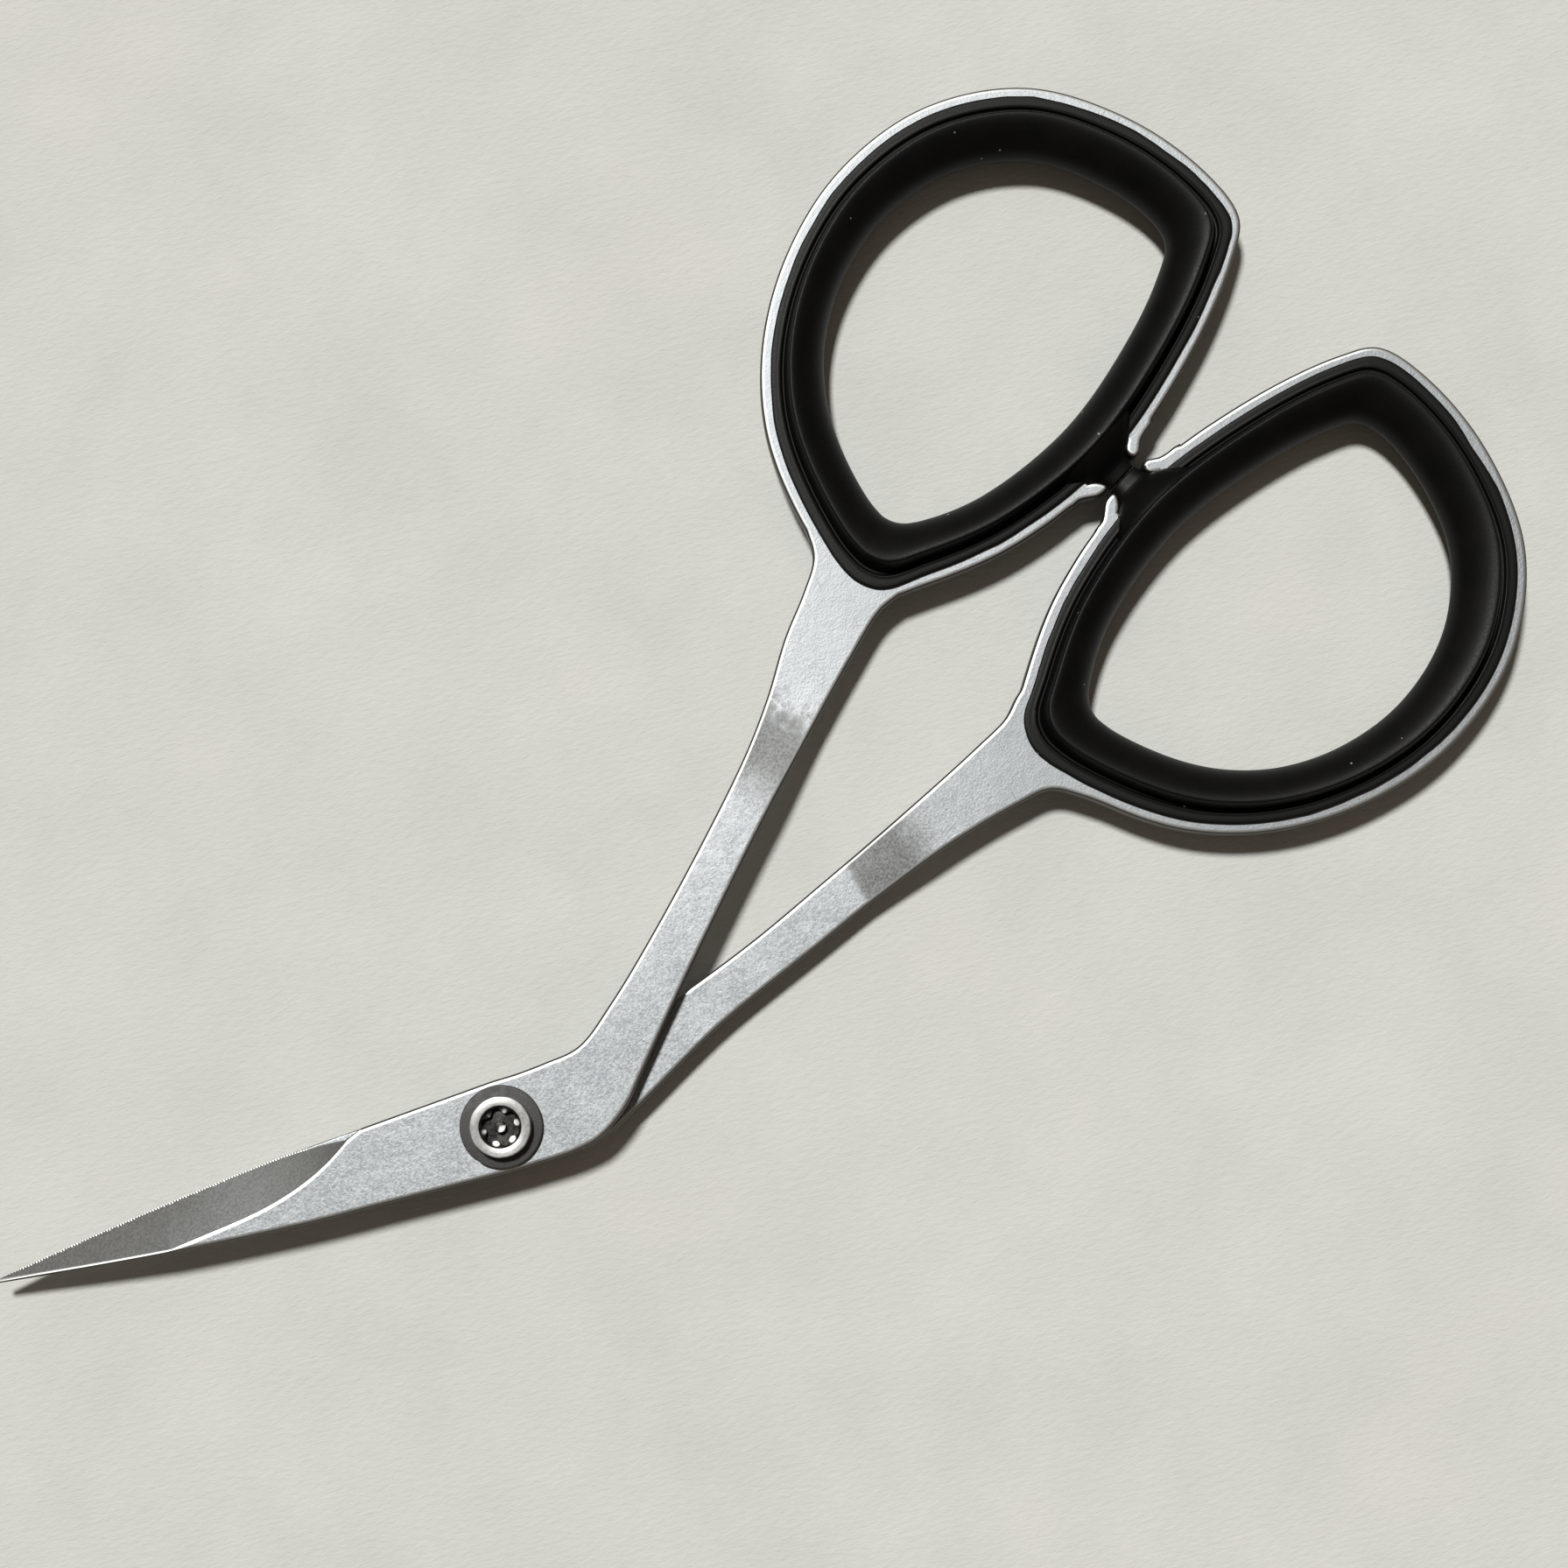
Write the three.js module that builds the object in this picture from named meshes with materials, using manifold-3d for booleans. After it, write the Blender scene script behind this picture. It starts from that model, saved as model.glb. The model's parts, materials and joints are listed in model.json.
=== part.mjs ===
// Goldwork scissors: two bent stamped leaves on one shouldered pivot, with soft grips moulded
// into open finger rings.
// Millimetres. The origin is on the pivot axis, on the table. X runs from the pivot along the
// middle of the handles, Y points to the ring of the upper leaf, and Z points up.
import * as THREE from "three";
import { mergeVertices } from "three/addons/utils/BufferGeometryUtils.js";
import Module from "manifold-3d";

const wasm = await Module();
wasm.setup();

// Sheet and stack, from the table up
const NUT_HEAD_HEIGHT = 0.7;
const NUT_WASHER_THICKNESS = 0.3;
const SHEET = 1.5;
const LEAF_GAP = 0.05; // running gap between the two leaves, and under the head washer
const HEAD_WASHER_THICKNESS = 0.35;
const SCREW_HEAD_HEIGHT = 0.95;

// Pivot
const BARREL_DIAMETER = 3.2; // bearing of the upper leaf, part of the nut
const BARREL_FLATS = 2.7; // across the two flats that stop the nut in the lower leaf
const BORE_CLEARANCE = 0.05; // all round the barrel and the screw
const NUT_HEAD_DIAMETER = 5.4;
const NUT_SLOT_WIDTH = 0.7;
const NUT_SLOT_LENGTH = 1.1; // each of the two key slots, in from the rim of the nut's head
const NUT_SLOT_DEPTH = 0.35;
const NUT_WASHER_DIAMETER = 6;
const HEAD_WASHER_DIAMETER = 5.4;
const SCREW_DIAMETER = 1.8;
const SCREW_LENGTH = 3.1; // under the head
const THREAD_RELIEF = 0.15; // hole in the nut past the end of the screw
const SCREW_HEAD_DIAMETER = 4;
const SCREW_CHAMFER = 0.2; // of the head, and of the end of the shank
const RECESS_MOUTH_DIAMETER = 2.75; // round countersink of the recess
const RECESS_MOUTH_DEPTH = 0.2;
const RECESS_DIAMETER = 2.5; // across the lobes
const RECESS_DEPTH = 0.7;
const RECESS_LOBES = 6;
const RECESS_LOBE = 0.16; // how far the lobes stand out from the middle radius
const RECESS_PIN_DIAMETER = 0.75;
const RECESS_PIN_HEIGHT = 0.55;

// Blades, in a frame of their own: B runs from the pivot to the tip, N across
const BEND_ANGLE = 29.35; // degrees between the blades and the middle line of the handles
const BLADE_LENGTH = 34.4; // pivot to tip
const HUB_HALF_WIDTH = 3;
const HUB_BACK = 2.5; // how far the cutting side runs straight behind the pivot
const SPINE_BACK_SHARE = 0.64; // the spine side runs back less
const HEEL = 9.9; // pivot to the heel of the cutting edge
const HEEL_HALF_WIDTH = 2.52;
const HEEL_CORNER = 1.2; // length of the step down to the sharpened edge
const TIP_HALF_WIDTH = 0.1;
const BLADE_TAPER = 1.4; // exponent of the curve from heel to tip
const HEEL_INSET = 0.34; // metal that sharpening took off the heel
const HEEL_INSET_LENGTH = 5.5;
const BEVEL_WIDTH = 2.95; // across the ground face
const BEVEL_RUNOUT = 10; // length over which the grinding wheel leaves the face at the heel
const BEVEL_LEAST_WIDTH = 0.25;
const EDGE_THICKNESS = 0.1;
const TOOTH_PITCH = 0.19; // fine serration of the upper cutting edge
const TOOTH_DEPTH = 0.05;
const TOOTH_START = 12.6; // pivot to the first tooth
const TOOTH_FADE = 2; // length at the tip over which the teeth die out

// Joggle: both stems step to the middle of the stack, so that the rings lie level
const JOGGLE_START = 27.6;
const JOGGLE_LENGTH = 5;
const CRISP_BEND = 1; // bend radii on the middle of the sheet
const SOFT_BEND = 5;

// Outlines of the two stems, from the hub to the ring. X, and Y towards the leaf's own ring.
const UPPER_STEM = {
  turn: 12, // degrees from X to the line across which the joggle is bent
  outer: [[3.1, 1.7], [4.9, 0.85], [7.15, 0], [10.5, 0.4], [16.2, 1.7], [24.55, 4.05], [28.65, 5.4],
    [32.2, 6.9], [36, 8.85], [39.15, 10.1], [41.2, 11.2], [42.3, 13], [43.9, 16]],
  inner: [[-0.25, -3.3], [1.65, -4.35], [3.65, -5.1], [5.25, -5.15], [6.85, -4.9], [8.55, -4.3],
    [15.1, -2.05], [26, 1.4], [32.9, 3.35], [38.8, 4.9], [41.7, 5.5], [43.45, 5.3], [45.65, 4.85]],
};
const LOWER_STEM = {
  turn: 17,
  outer: [[2.45, 4.85], [4.2, 5.4], [7, 5.55], [14.4, 5.75], [22.75, 6.8], [28.3, 7.55], [33.9, 8.6],
    [38.7, 9.95], [40.85, 10.85], [42, 12.7], [43.3, 15.9]],
  inner: [[2.45, -2.05], [4.65, -0.65], [7.3, 0.45], [10.45, 1.55], [14.3, 2.45], [20.1, 3.45],
    [25.35, 4.05], [33.7, 4.9], [39.85, 5.35], [42.25, 5.4], [43.8, 4.95], [45.65, 4.65]],
};

// Finger ring, the same for both leaves: pairs of the opening and the outer edge of the rubber
const RING = [
  [[46.55, 10], [42, 8.55]], [[47.5, 13.85], [43.25, 13.9]], [[49.45, 17.65], [45.75, 19]],
  [[52.45, 20.75], [49.75, 23.1]], [[56.6, 22.9], [55.3, 26.1]], [[61.6, 23.7], [61.6, 27.4]],
  [[66.9, 22.5], [68.35, 26.3]], [[71.05, 19.2], [73.95, 22.35]], [[73.1, 14.8], [77, 16.2]],
  [[73.7, 10.75], [77.85, 10.2]], [[73.15, 8.85], [77.2, 6.75]], [[71.35, 7.75], [75.1, 5.3]],
  [[66.9, 6.25], [68.6, 3.05]], [[59.5, 5.05], [59.5, 1.55]], [[52.2, 5.95], [51.2, 2.7]],
  [[48.2, 7.7], [45.4, 5.05]], [[46.95, 8.75], [42.75, 6.5]],
];
const RIM_WIDTH = 0.7; // bare metal outside the rubber
const BAND_DEPTH = 1.1; // metal under the rubber
const BOND_GAP = 0.08; // between the metal and the rubber moulded round it

// Lips: where the metal ring is open, its two ends turn out to the other ring
const RING_GAP = [57.5, 61.45]; // opening of the metal ring along X
const NEAR_LIP = [[55.4, 1.95], [56.85, 1.6], [57.7, 1.3], [58.15, 0.8], [58.3, 0.3], [57.9, 0.2],
  [57.35, 0.3], [56.85, 0.65], [56.3, 1], [55.4, 1.15]];
const FAR_LIP = [[63.75, 1.95], [62.4, 1.75], [61.45, 1.5], [60.9, 1.1], [60.85, 0.5], [61.1, 0.3],
  [61.55, 0.4], [62.1, 0.8], [62.8, 1], [63.75, 1.2]];

// Bumpers: the rubber comes out through the gap and meets that of the other ring
const BUMPER_GAP = 0.12; // between the two, closed
const BUMPER_HEIGHT = 1.7;
const BUMPER_WIDTH = 2.1;
const BUMPER_CORNER = 0.4;
const BUMPER_NECK = 1.6; // Y up to which its sides are straight
const BUMPER_FLARE = 0.5; // how much wider it is on each side where it joins the tube

// Half section of a grip, from the outer edge of the rubber (0) to the opening (1), with the
// height above the middle plane in half heights: groove, shoulder, and the soft tube, which
// slopes from the shoulder to the opening
const GRIP_HALF_HEIGHT = 2.45;
const TUBE_START = 3.2; // Y well inside the tube, beside the gap in the metal
const FLANGE_THICKNESS = 0.2; // thin lip of rubber over the metal
const GRIP_SECTION = [
  [0.2, 0.43], [0.25, 0.37], [0.3, 0.76], [0.33, 0.93], [0.37, 1], [0.5, 0.95], [0.65, 0.82],
  [0.8, 0.63], [0.92, 0.39],
];

// Fineness of the curves
const ROUND_STEPS = 48;
const EDGE_STEPS = 24; // along a plain blade edge
const BEVEL_STEPS = 22;
const BEVEL_CROWDING = 1.5; // exponent that sets more steps at the heel
const STEM_STEPS = 4; // points for each pair of outline points
const LIP_STEPS = 2;
const LEAF_RING_STEPS = 5;
const GRIP_RING_STEPS = 3;
const BEND_STEPS = 5;
const WELD = 1e-4; // corners nearer than this are one

// Heights in the stack, and where things are that several pieces share
const LOWER_BOTTOM = NUT_HEAD_HEIGHT + NUT_WASHER_THICKNESS;
const LOWER_TOP = LOWER_BOTTOM + SHEET;
const UPPER_BOTTOM = LOWER_TOP + LEAF_GAP;
const UPPER_TOP = UPPER_BOTTOM + SHEET;
const HEAD_SEAT = UPPER_TOP + LEAF_GAP;
const SCREW_SEAT = HEAD_SEAT + HEAD_WASHER_THICKNESS;
const SCREW_TOP = SCREW_SEAT + SCREW_HEAD_HEIGHT;
const MIDDLE = (LOWER_TOP + UPPER_BOTTOM) / 2;
const GAP_MIDDLE = (RING_GAP[0] + RING_GAP[1]) / 2;
const BORE = BARREL_DIAMETER + 2 * BORE_CLEARANCE;
const SCREW_BORE = SCREW_DIAMETER + 2 * BORE_CLEARANCE;
const SPAN = 2 * (BLADE_LENGTH + Math.max(...RING.map(([, edge]) => edge[0]))); // past every outline
const OVER = 1; // how far a cut runs past what it cuts

// A solid from a closed geometry
function solid(geometry) {
  const bare = geometry.index ? geometry.toNonIndexed() : geometry.clone();
  bare.deleteAttribute("normal");
  bare.deleteAttribute("uv");
  const merged = mergeVertices(bare, WELD);
  return new wasm.Manifold(
    new wasm.Mesh({
      numProp: 3,
      vertProperties: new Float32Array(merged.attributes.position.array),
      triVerts: new Uint32Array(merged.index.array),
    }),
  );
}

// A named mesh from a solid
function piece(name, body, material) {
  const { vertProperties, triVerts } = body.getMesh();
  const geometry = new THREE.BufferGeometry();
  geometry.setAttribute("position", new THREE.BufferAttribute(vertProperties, 3));
  geometry.setIndex(new THREE.BufferAttribute(triVerts, 1));
  geometry.computeVertexNormals();
  const made = new THREE.Mesh(geometry, material);
  made.name = name;
  return made;
}

// A prism over an outline, between two heights
function prism(points, bottom, top) {
  const shape = new THREE.Shape(points.map(([x, y]) => new THREE.Vector2(x, y)));
  const geometry = new THREE.ExtrudeGeometry(shape, { depth: top - bottom, bevelEnabled: false });
  return solid(geometry.translate(0, 0, bottom));
}

// A round solid on the pivot's axis that widens from one diameter to another
function cone(low, high, bottom, top) {
  const geometry = new THREE.CylinderGeometry(high / 2, low / 2, top - bottom, ROUND_STEPS);
  return solid(geometry.rotateX(Math.PI / 2).translate(0, 0, (bottom + top) / 2));
}

const disc = (diameter, bottom, top) => cone(diameter, diameter, bottom, top);

function block(x, y, width, depth, bottom, top) {
  const geometry = new THREE.BoxGeometry(width, depth, top - bottom);
  return solid(geometry.translate(x, y, (bottom + top) / 2));
}

// Through the whole stack, for outlines that are cut to height later, and for holes
const full = (points) => prism(points, 0, SCREW_TOP);
const through = (points) => prism(points, -OVER, SCREW_TOP + OVER);
const bore = (diameter) => disc(diameter, -OVER, SCREW_TOP + OVER);

// Points on a smooth curve through the given ones
function smooth(points, steps, closed = false) {
  const knots = points.map(([x, y]) => new THREE.Vector3(x, y, 0));
  const curve = new THREE.CatmullRomCurve3(knots, closed, "centripetal");
  const count = (closed ? points.length : points.length - 1) * steps;
  const made = [];
  for (let i = 0; i < count + (closed ? 0 : 1); i++) {
    const { x, y } = curve.getPoint(i / count);
    made.push([x, y]);
  }
  return made;
}

// Outlines are drawn for the upper leaf's side, +Y, and mirrored for the lower leaf
const toSide = (points, side) => points.map(([x, y]) => [x, side * y]);

// A closed surface over sections with the same number of corners: a ring, or a strip with ends
function skin(sections, flip, ring = false) {
  const rows = sections.length;
  const columns = sections[0].length;
  const position = [];
  const index = [];
  sections.forEach((row) => row.forEach((p) => position.push(p.x, p.y, p.z)));
  const corner = (i, j) => (i % rows) * columns + (j % columns);
  const face = (a, b, c) => index.push(...(flip ? [a, c, b] : [a, b, c]));
  for (let i = 0; i < rows - (ring ? 0 : 1); i++) {
    for (let j = 0; j < columns; j++) {
      face(corner(i, j), corner(i + 1, j), corner(i + 1, j + 1));
      face(corner(i, j), corner(i + 1, j + 1), corner(i, j + 1));
    }
  }
  for (let j = 1; !ring && j < columns - 1; j++) {
    face(corner(0, 0), corner(0, j), corner(0, j + 1));
    face(corner(rows - 1, 0), corner(rows - 1, j + 1), corner(rows - 1, j));
  }
  const geometry = new THREE.BufferGeometry();
  geometry.setAttribute("position", new THREE.Float32BufferAttribute(position, 3));
  geometry.setIndex(index);
  return solid(geometry);
}

// Half the width of a blade at a distance from the pivot: straight to the heel, then a taper
function bladeHalfWidth(b) {
  const toHeel = THREE.MathUtils.clamp(b / HEEL, 0, 1);
  const pastHeel = THREE.MathUtils.clamp((b - HEEL) / (BLADE_LENGTH - HEEL), 0, 1);
  const straight = THREE.MathUtils.lerp(HUB_HALF_WIDTH, HEEL_HALF_WIDTH, toHeel);
  return straight - (HEEL_HALF_WIDTH - TIP_HALF_WIDTH) * pastHeel ** BLADE_TAPER;
}

// The sharpened edge, drawn in a little at the heel
function cuttingEdge(b) {
  const left = THREE.MathUtils.clamp(1 - (b - HEEL) / HEEL_INSET_LENGTH, 0, 1);
  return bladeHalfWidth(b) - HEEL_INSET * left ** 2;
}

// A point of the blade's own frame in the part's frame
function fromBlade([b, n]) {
  const turn = THREE.MathUtils.degToRad(180 - BEND_ANGLE);
  return [b * Math.cos(turn) + n * Math.sin(turn), b * Math.sin(turn) - n * Math.cos(turn)];
}

// The blade from the hub to the tip along its cutting side, and back along its spine.
// The side is 1 when the cutting edge is on +N.
function bladeOutline(side, serrated) {
  const cutting = [
    [-HUB_BACK, HUB_HALF_WIDTH],
    [0, HUB_HALF_WIDTH],
    [HEEL - HEEL_CORNER, bladeHalfWidth(HEEL - HEEL_CORNER)],
  ];
  const pitch = (BLADE_LENGTH - HEEL) / EDGE_STEPS;
  const plainEnd = serrated ? TOOTH_START : BLADE_LENGTH;
  for (let b = HEEL; b < plainEnd - pitch / 2; b += pitch) {
    cutting.push([b, cuttingEdge(b)]);
  }
  for (let b = plainEnd; b < BLADE_LENGTH - TOOTH_PITCH; b += TOOTH_PITCH) {
    const root = b + TOOTH_PITCH / 2;
    const depth = TOOTH_DEPTH * Math.min(1, (BLADE_LENGTH - b) / TOOTH_FADE);
    cutting.push([b, cuttingEdge(b)], [root, cuttingEdge(root) - depth]);
  }
  cutting.push([BLADE_LENGTH, TIP_HALF_WIDTH]);
  const spine = [];
  for (let i = EDGE_STEPS; i >= 0; i--) {
    const b = (BLADE_LENGTH * i) / EDGE_STEPS;
    spine.push([b, -bladeHalfWidth(b)]);
  }
  spine.push([-HUB_BACK * SPINE_BACK_SHARE, -HUB_HALF_WIDTH]);
  return cutting.concat(spine).map(([b, n]) => fromBlade([b, n * side]));
}

// What the grinding wheel takes off a blade: the slanting face, narrow where the wheel leaves
// the blade at the heel. Inner is the height of the blade's flat, and up the way from it.
function bevelCut(side, inner, up) {
  const length = BLADE_LENGTH + OVER - HEEL;
  const sections = [];
  for (let i = 0; i <= BEVEL_STEPS; i++) {
    const b = HEEL + length * (i / BEVEL_STEPS) ** BEVEL_CROWDING;
    const left = Math.max(0, 1 - (b - HEEL) / BEVEL_RUNOUT);
    const width = Math.max(BEVEL_LEAST_WIDTH, BEVEL_WIDTH * (1 - left ** 3));
    const edge = cuttingEdge(b);
    const slope = (SHEET - EDGE_THICKNESS) / width;
    const near = edge + OVER;
    const far = edge - width - OVER;
    const face = (n) => EDGE_THICKNESS + slope * (edge - n);
    const above = face(far) + OVER;
    const corners = [[near, face(near)], [near, above], [far, above], [far, face(far)]];
    sections.push(
      corners.map(([n, z]) => {
        const [x, y] = fromBlade([b, n * side]);
        return new THREE.Vector3(x, y, inner + up * z);
      }),
    );
  }
  return skin(sections, side * up < 0);
}

// The bent sheet seen from the side: flat at the hub, a joggle, flat again at the ring
function sheetProfile(hubMiddle, crispFirst) {
  const rise = MIDDLE - hubMiddle;
  const slope = Math.atan2(Math.abs(rise), JOGGLE_LENGTH);
  const [first, second] = crispFirst ? [CRISP_BEND, SOFT_BEND] : [SOFT_BEND, CRISP_BEND];
  const bends = [
    { x: JOGGLE_START, z: hubMiddle, from: 0, to: slope, radius: first },
    { x: JOGGLE_START + JOGGLE_LENGTH, z: MIDDLE, from: slope, to: 0, radius: second },
  ];
  const middle = [{ x: -SPAN, z: hubMiddle, angle: 0 }];
  for (const { x, z, from, to, radius } of bends) {
    const tangent = radius * Math.tan(slope / 2);
    const way = Math.sign(to - from);
    for (let i = 0; i <= BEND_STEPS; i++) {
      const angle = THREE.MathUtils.lerp(from, to, i / BEND_STEPS);
      const along = radius * (Math.sin(angle) - Math.sin(from)) * way - tangent * Math.cos(from);
      const across = radius * (Math.cos(from) - Math.cos(angle)) * way - tangent * Math.sin(from);
      middle.push({ x: x + along, z: z + Math.sign(rise) * across, angle: Math.sign(rise) * angle });
    }
  }
  middle.push({ x: SPAN, z: MIDDLE, angle: 0 });
  const face = (h) => middle.map((p) => [p.x - h * Math.sin(p.angle), p.z + h * Math.cos(p.angle)]);
  return face(-SHEET / 2).concat(face(SHEET / 2).reverse());
}

// The bent sheet, wider than the scissors, with its joggle across the stem
function sheet(hubMiddle, crispFirst, side, stem) {
  const outline = sheetProfile(hubMiddle, crispFirst).map(([x, z]) => new THREE.Vector2(x, z));
  const geometry = new THREE.ExtrudeGeometry(new THREE.Shape(outline), {
    depth: 2 * SPAN,
    bevelEnabled: false,
  });
  const joggle = JOGGLE_START + JOGGLE_LENGTH / 2;
  geometry.translate(-joggle, 0, -SPAN).rotateX(Math.PI / 2);
  geometry.rotateZ(THREE.MathUtils.degToRad(side * stem.turn));
  return solid(geometry.translate(joggle, side * middleOfStem(stem, joggle), 0));
}

function middleOfStem(stem, x) {
  const at = (edge) => {
    const distance = (p) => Math.abs(p[0] - x);
    return smooth(edge, STEM_STEPS).reduce((best, p) => (distance(p) < distance(best) ? p : best))[1];
  };
  return (at(stem.outer) + at(stem.inner)) / 2;
}

// The finger ring as places along the rubber's outer edge, each with the way to the opening
function ringPlaces(steps) {
  const opening = smooth(RING.map((pair) => pair[0]), steps, true);
  const edge = smooth(RING.map((pair) => pair[1]), steps, true);
  return edge.map(([x, y], i) => {
    const dx = opening[i][0] - x;
    const dy = opening[i][1] - y;
    return { x, y, dx, dy, width: Math.hypot(dx, dy) };
  });
}

// An outline a number of millimetres in from the rubber's outer edge
function ringOutline(inwards) {
  return ringPlaces(LEAF_RING_STEPS).map(({ x, y, dx, dy, width }) => [
    x + (dx / width) * inwards,
    y + (dy / width) * inwards,
  ]);
}

// One leaf, stamped, bent, bored and ground. Side 1 is the upper leaf, whose ring is on +Y and
// whose bevel is on top. Side -1 is the lower leaf, with flats in its bore that hold the nut.
function leaf(side, stem, serrated) {
  const upper = side > 0;
  const stemOutline = smooth(stem.outer, STEM_STEPS).concat(smooth(stem.inner, STEM_STEPS).reverse());
  const onSide = (points) => full(toSide(points, side));
  const plan = full(bladeOutline(side, serrated))
    .add(onSide(stemOutline))
    .add(onSide(ringOutline(-RIM_WIDTH)))
    .subtract(through(toSide(ringOutline(BAND_DEPTH), side)))
    .subtract(
      block(GAP_MIDDLE, 0, RING_GAP[1] - RING_GAP[0], 2 * TUBE_START, -OVER, SCREW_TOP + OVER),
    )
    .add(onSide(smooth(NEAR_LIP, LIP_STEPS, true)))
    .add(onSide(smooth(FAR_LIP, LIP_STEPS, true)));
  const bottom = upper ? UPPER_BOTTOM : LOWER_BOTTOM;
  const flats = BARREL_FLATS + 2 * BORE_CLEARANCE;
  const keyed = block(0, 0, BORE + OVER, flats, -2 * OVER, SCREW_TOP + 2 * OVER);
  const hole = upper ? bore(BORE) : bore(BORE).intersect(keyed);
  return plan
    .intersect(sheet(bottom + SHEET / 2, !upper, side, stem))
    .subtract(hole)
    .subtract(bevelCut(side, upper ? UPPER_BOTTOM : LOWER_TOP, side));
}

// The whole section of a grip: shares of its width, and heights above the middle plane
function gripSection(seat) {
  const profile = GRIP_SECTION.map(([share, height]) => [share, height * GRIP_HALF_HEIGHT]);
  const top = [[0, seat], [0, seat + FLANGE_THICKNESS]].concat(profile);
  const under = top.map(([share, z]) => [share, -z]).reverse();
  return top.concat([[1, 0]], under);
}

// A grip: the moulded ring with its slot for the metal band, and the bumper
function grip(side) {
  const seat = SHEET / 2 + BOND_GAP;
  const slot = BAND_DEPTH + BOND_GAP;
  const section = gripSection(seat);
  const rings = ringPlaces(GRIP_RING_STEPS).map(({ x, y, dx, dy, width }) => {
    const at = ([share, z]) => new THREE.Vector3(x + dx * share, side * (y + dy * share), MIDDLE + z);
    return [...section, [slot / width, -seat], [slot / width, seat]].map(at);
  });
  const left = GAP_MIDDLE - BUMPER_WIDTH / 2;
  const right = GAP_MIDDLE + BUMPER_WIDTH / 2;
  const face = BUMPER_GAP / 2;
  const outline = [
    [left - BUMPER_FLARE, TUBE_START], [left, BUMPER_NECK], [left, face + BUMPER_CORNER],
    [left + BUMPER_CORNER, face], [right - BUMPER_CORNER, face], [right, face + BUMPER_CORNER],
    [right, BUMPER_NECK], [right + BUMPER_FLARE, TUBE_START],
  ];
  const half = BUMPER_HEIGHT / 2;
  const bumper = prism(toSide(outline, side), MIDDLE - half, MIDDLE + half);
  return skin(rings, side > 0, true).add(bumper);
}

// The nut: a slotted head under the lower leaf, flats that lock it in that leaf, and the round
// barrel on which the upper leaf turns
function pivotNut() {
  const keyed = disc(BARREL_DIAMETER, 0, LOWER_TOP).intersect(
    block(0, 0, BARREL_DIAMETER + OVER, BARREL_FLATS, -OVER, LOWER_TOP + OVER),
  );
  const depth = SCREW_SEAT - SCREW_LENGTH - THREAD_RELIEF;
  const slots = [-1, 1].map((way) => {
    const middle = (NUT_HEAD_DIAMETER + OVER) / 2 - NUT_SLOT_LENGTH / 2;
    return block(way * middle, 0, NUT_SLOT_LENGTH + OVER, NUT_SLOT_WIDTH, -OVER, NUT_SLOT_DEPTH);
  });
  return disc(NUT_HEAD_DIAMETER, 0, NUT_HEAD_HEIGHT)
    .add(keyed)
    .add(disc(BARREL_DIAMETER, LOWER_TOP, HEAD_SEAT))
    .subtract(disc(SCREW_BORE, depth, HEAD_SEAT + OVER))
    .subtract(slots[0])
    .subtract(slots[1]);
}

function nutWasher() {
  return disc(NUT_WASHER_DIAMETER, NUT_HEAD_HEIGHT, LOWER_BOTTOM).subtract(bore(BORE));
}

function headWasher() {
  return disc(HEAD_WASHER_DIAMETER, HEAD_SEAT, SCREW_SEAT).subtract(bore(SCREW_BORE));
}

// The screw: turned shank and head, with a six-lobed recess round a centre pin
function pivotScrew() {
  const shank = SCREW_DIAMETER / 2;
  const head = SCREW_HEAD_DIAMETER / 2;
  const end = SCREW_SEAT - SCREW_LENGTH;
  const profile = [
    [0, end], [shank - SCREW_CHAMFER, end], [shank, end + SCREW_CHAMFER], [shank, SCREW_SEAT],
    [head, SCREW_SEAT], [head, SCREW_TOP - SCREW_CHAMFER], [head - SCREW_CHAMFER, SCREW_TOP],
    [0, SCREW_TOP],
  ];
  const turned = new THREE.LatheGeometry(profile.map(([r, z]) => new THREE.Vector2(r, z)), ROUND_STEPS);
  const lobes = [];
  for (let i = 0; i < ROUND_STEPS; i++) {
    const angle = (2 * Math.PI * i) / ROUND_STEPS;
    const r = RECESS_DIAMETER / 2 - RECESS_LOBE * (1 - Math.cos(RECESS_LOBES * angle));
    lobes.push([r * Math.cos(angle), r * Math.sin(angle)]);
  }
  const floor = SCREW_TOP - RECESS_DEPTH;
  const mouth = cone(
    RECESS_MOUTH_DIAMETER - 2 * RECESS_MOUTH_DEPTH,
    RECESS_MOUTH_DIAMETER + 2 * OVER,
    SCREW_TOP - RECESS_MOUTH_DEPTH,
    SCREW_TOP + OVER,
  );
  return solid(turned.rotateX(Math.PI / 2))
    .subtract(prism(lobes, floor, SCREW_TOP + OVER))
    .subtract(mouth)
    .add(disc(RECESS_PIN_DIAMETER, SCREW_SEAT, floor + RECESS_PIN_HEIGHT));
}

// Finishes
const steel = new THREE.MeshStandardMaterial({ color: 0xbcc0c4, roughness: 0.5, metalness: 0.9 });
const turnedSteel = new THREE.MeshStandardMaterial({ color: 0xc9cac8, roughness: 0.3, metalness: 1 });
const acetal = new THREE.MeshStandardMaterial({ color: 0x4b4947, roughness: 0.55, metalness: 0 });
const rubber = new THREE.MeshStandardMaterial({ color: 0x181818, roughness: 0.7, metalness: 0 });

const upperHalf = new THREE.Group();
upperHalf.add(piece("upper_leaf", leaf(1, UPPER_STEM, true), steel));
upperHalf.add(piece("upper_grip", grip(1), rubber));

const lowerHalf = new THREE.Group();
lowerHalf.add(piece("lower_leaf", leaf(-1, LOWER_STEM, false), steel));
lowerHalf.add(piece("lower_grip", grip(-1), rubber));

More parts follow.
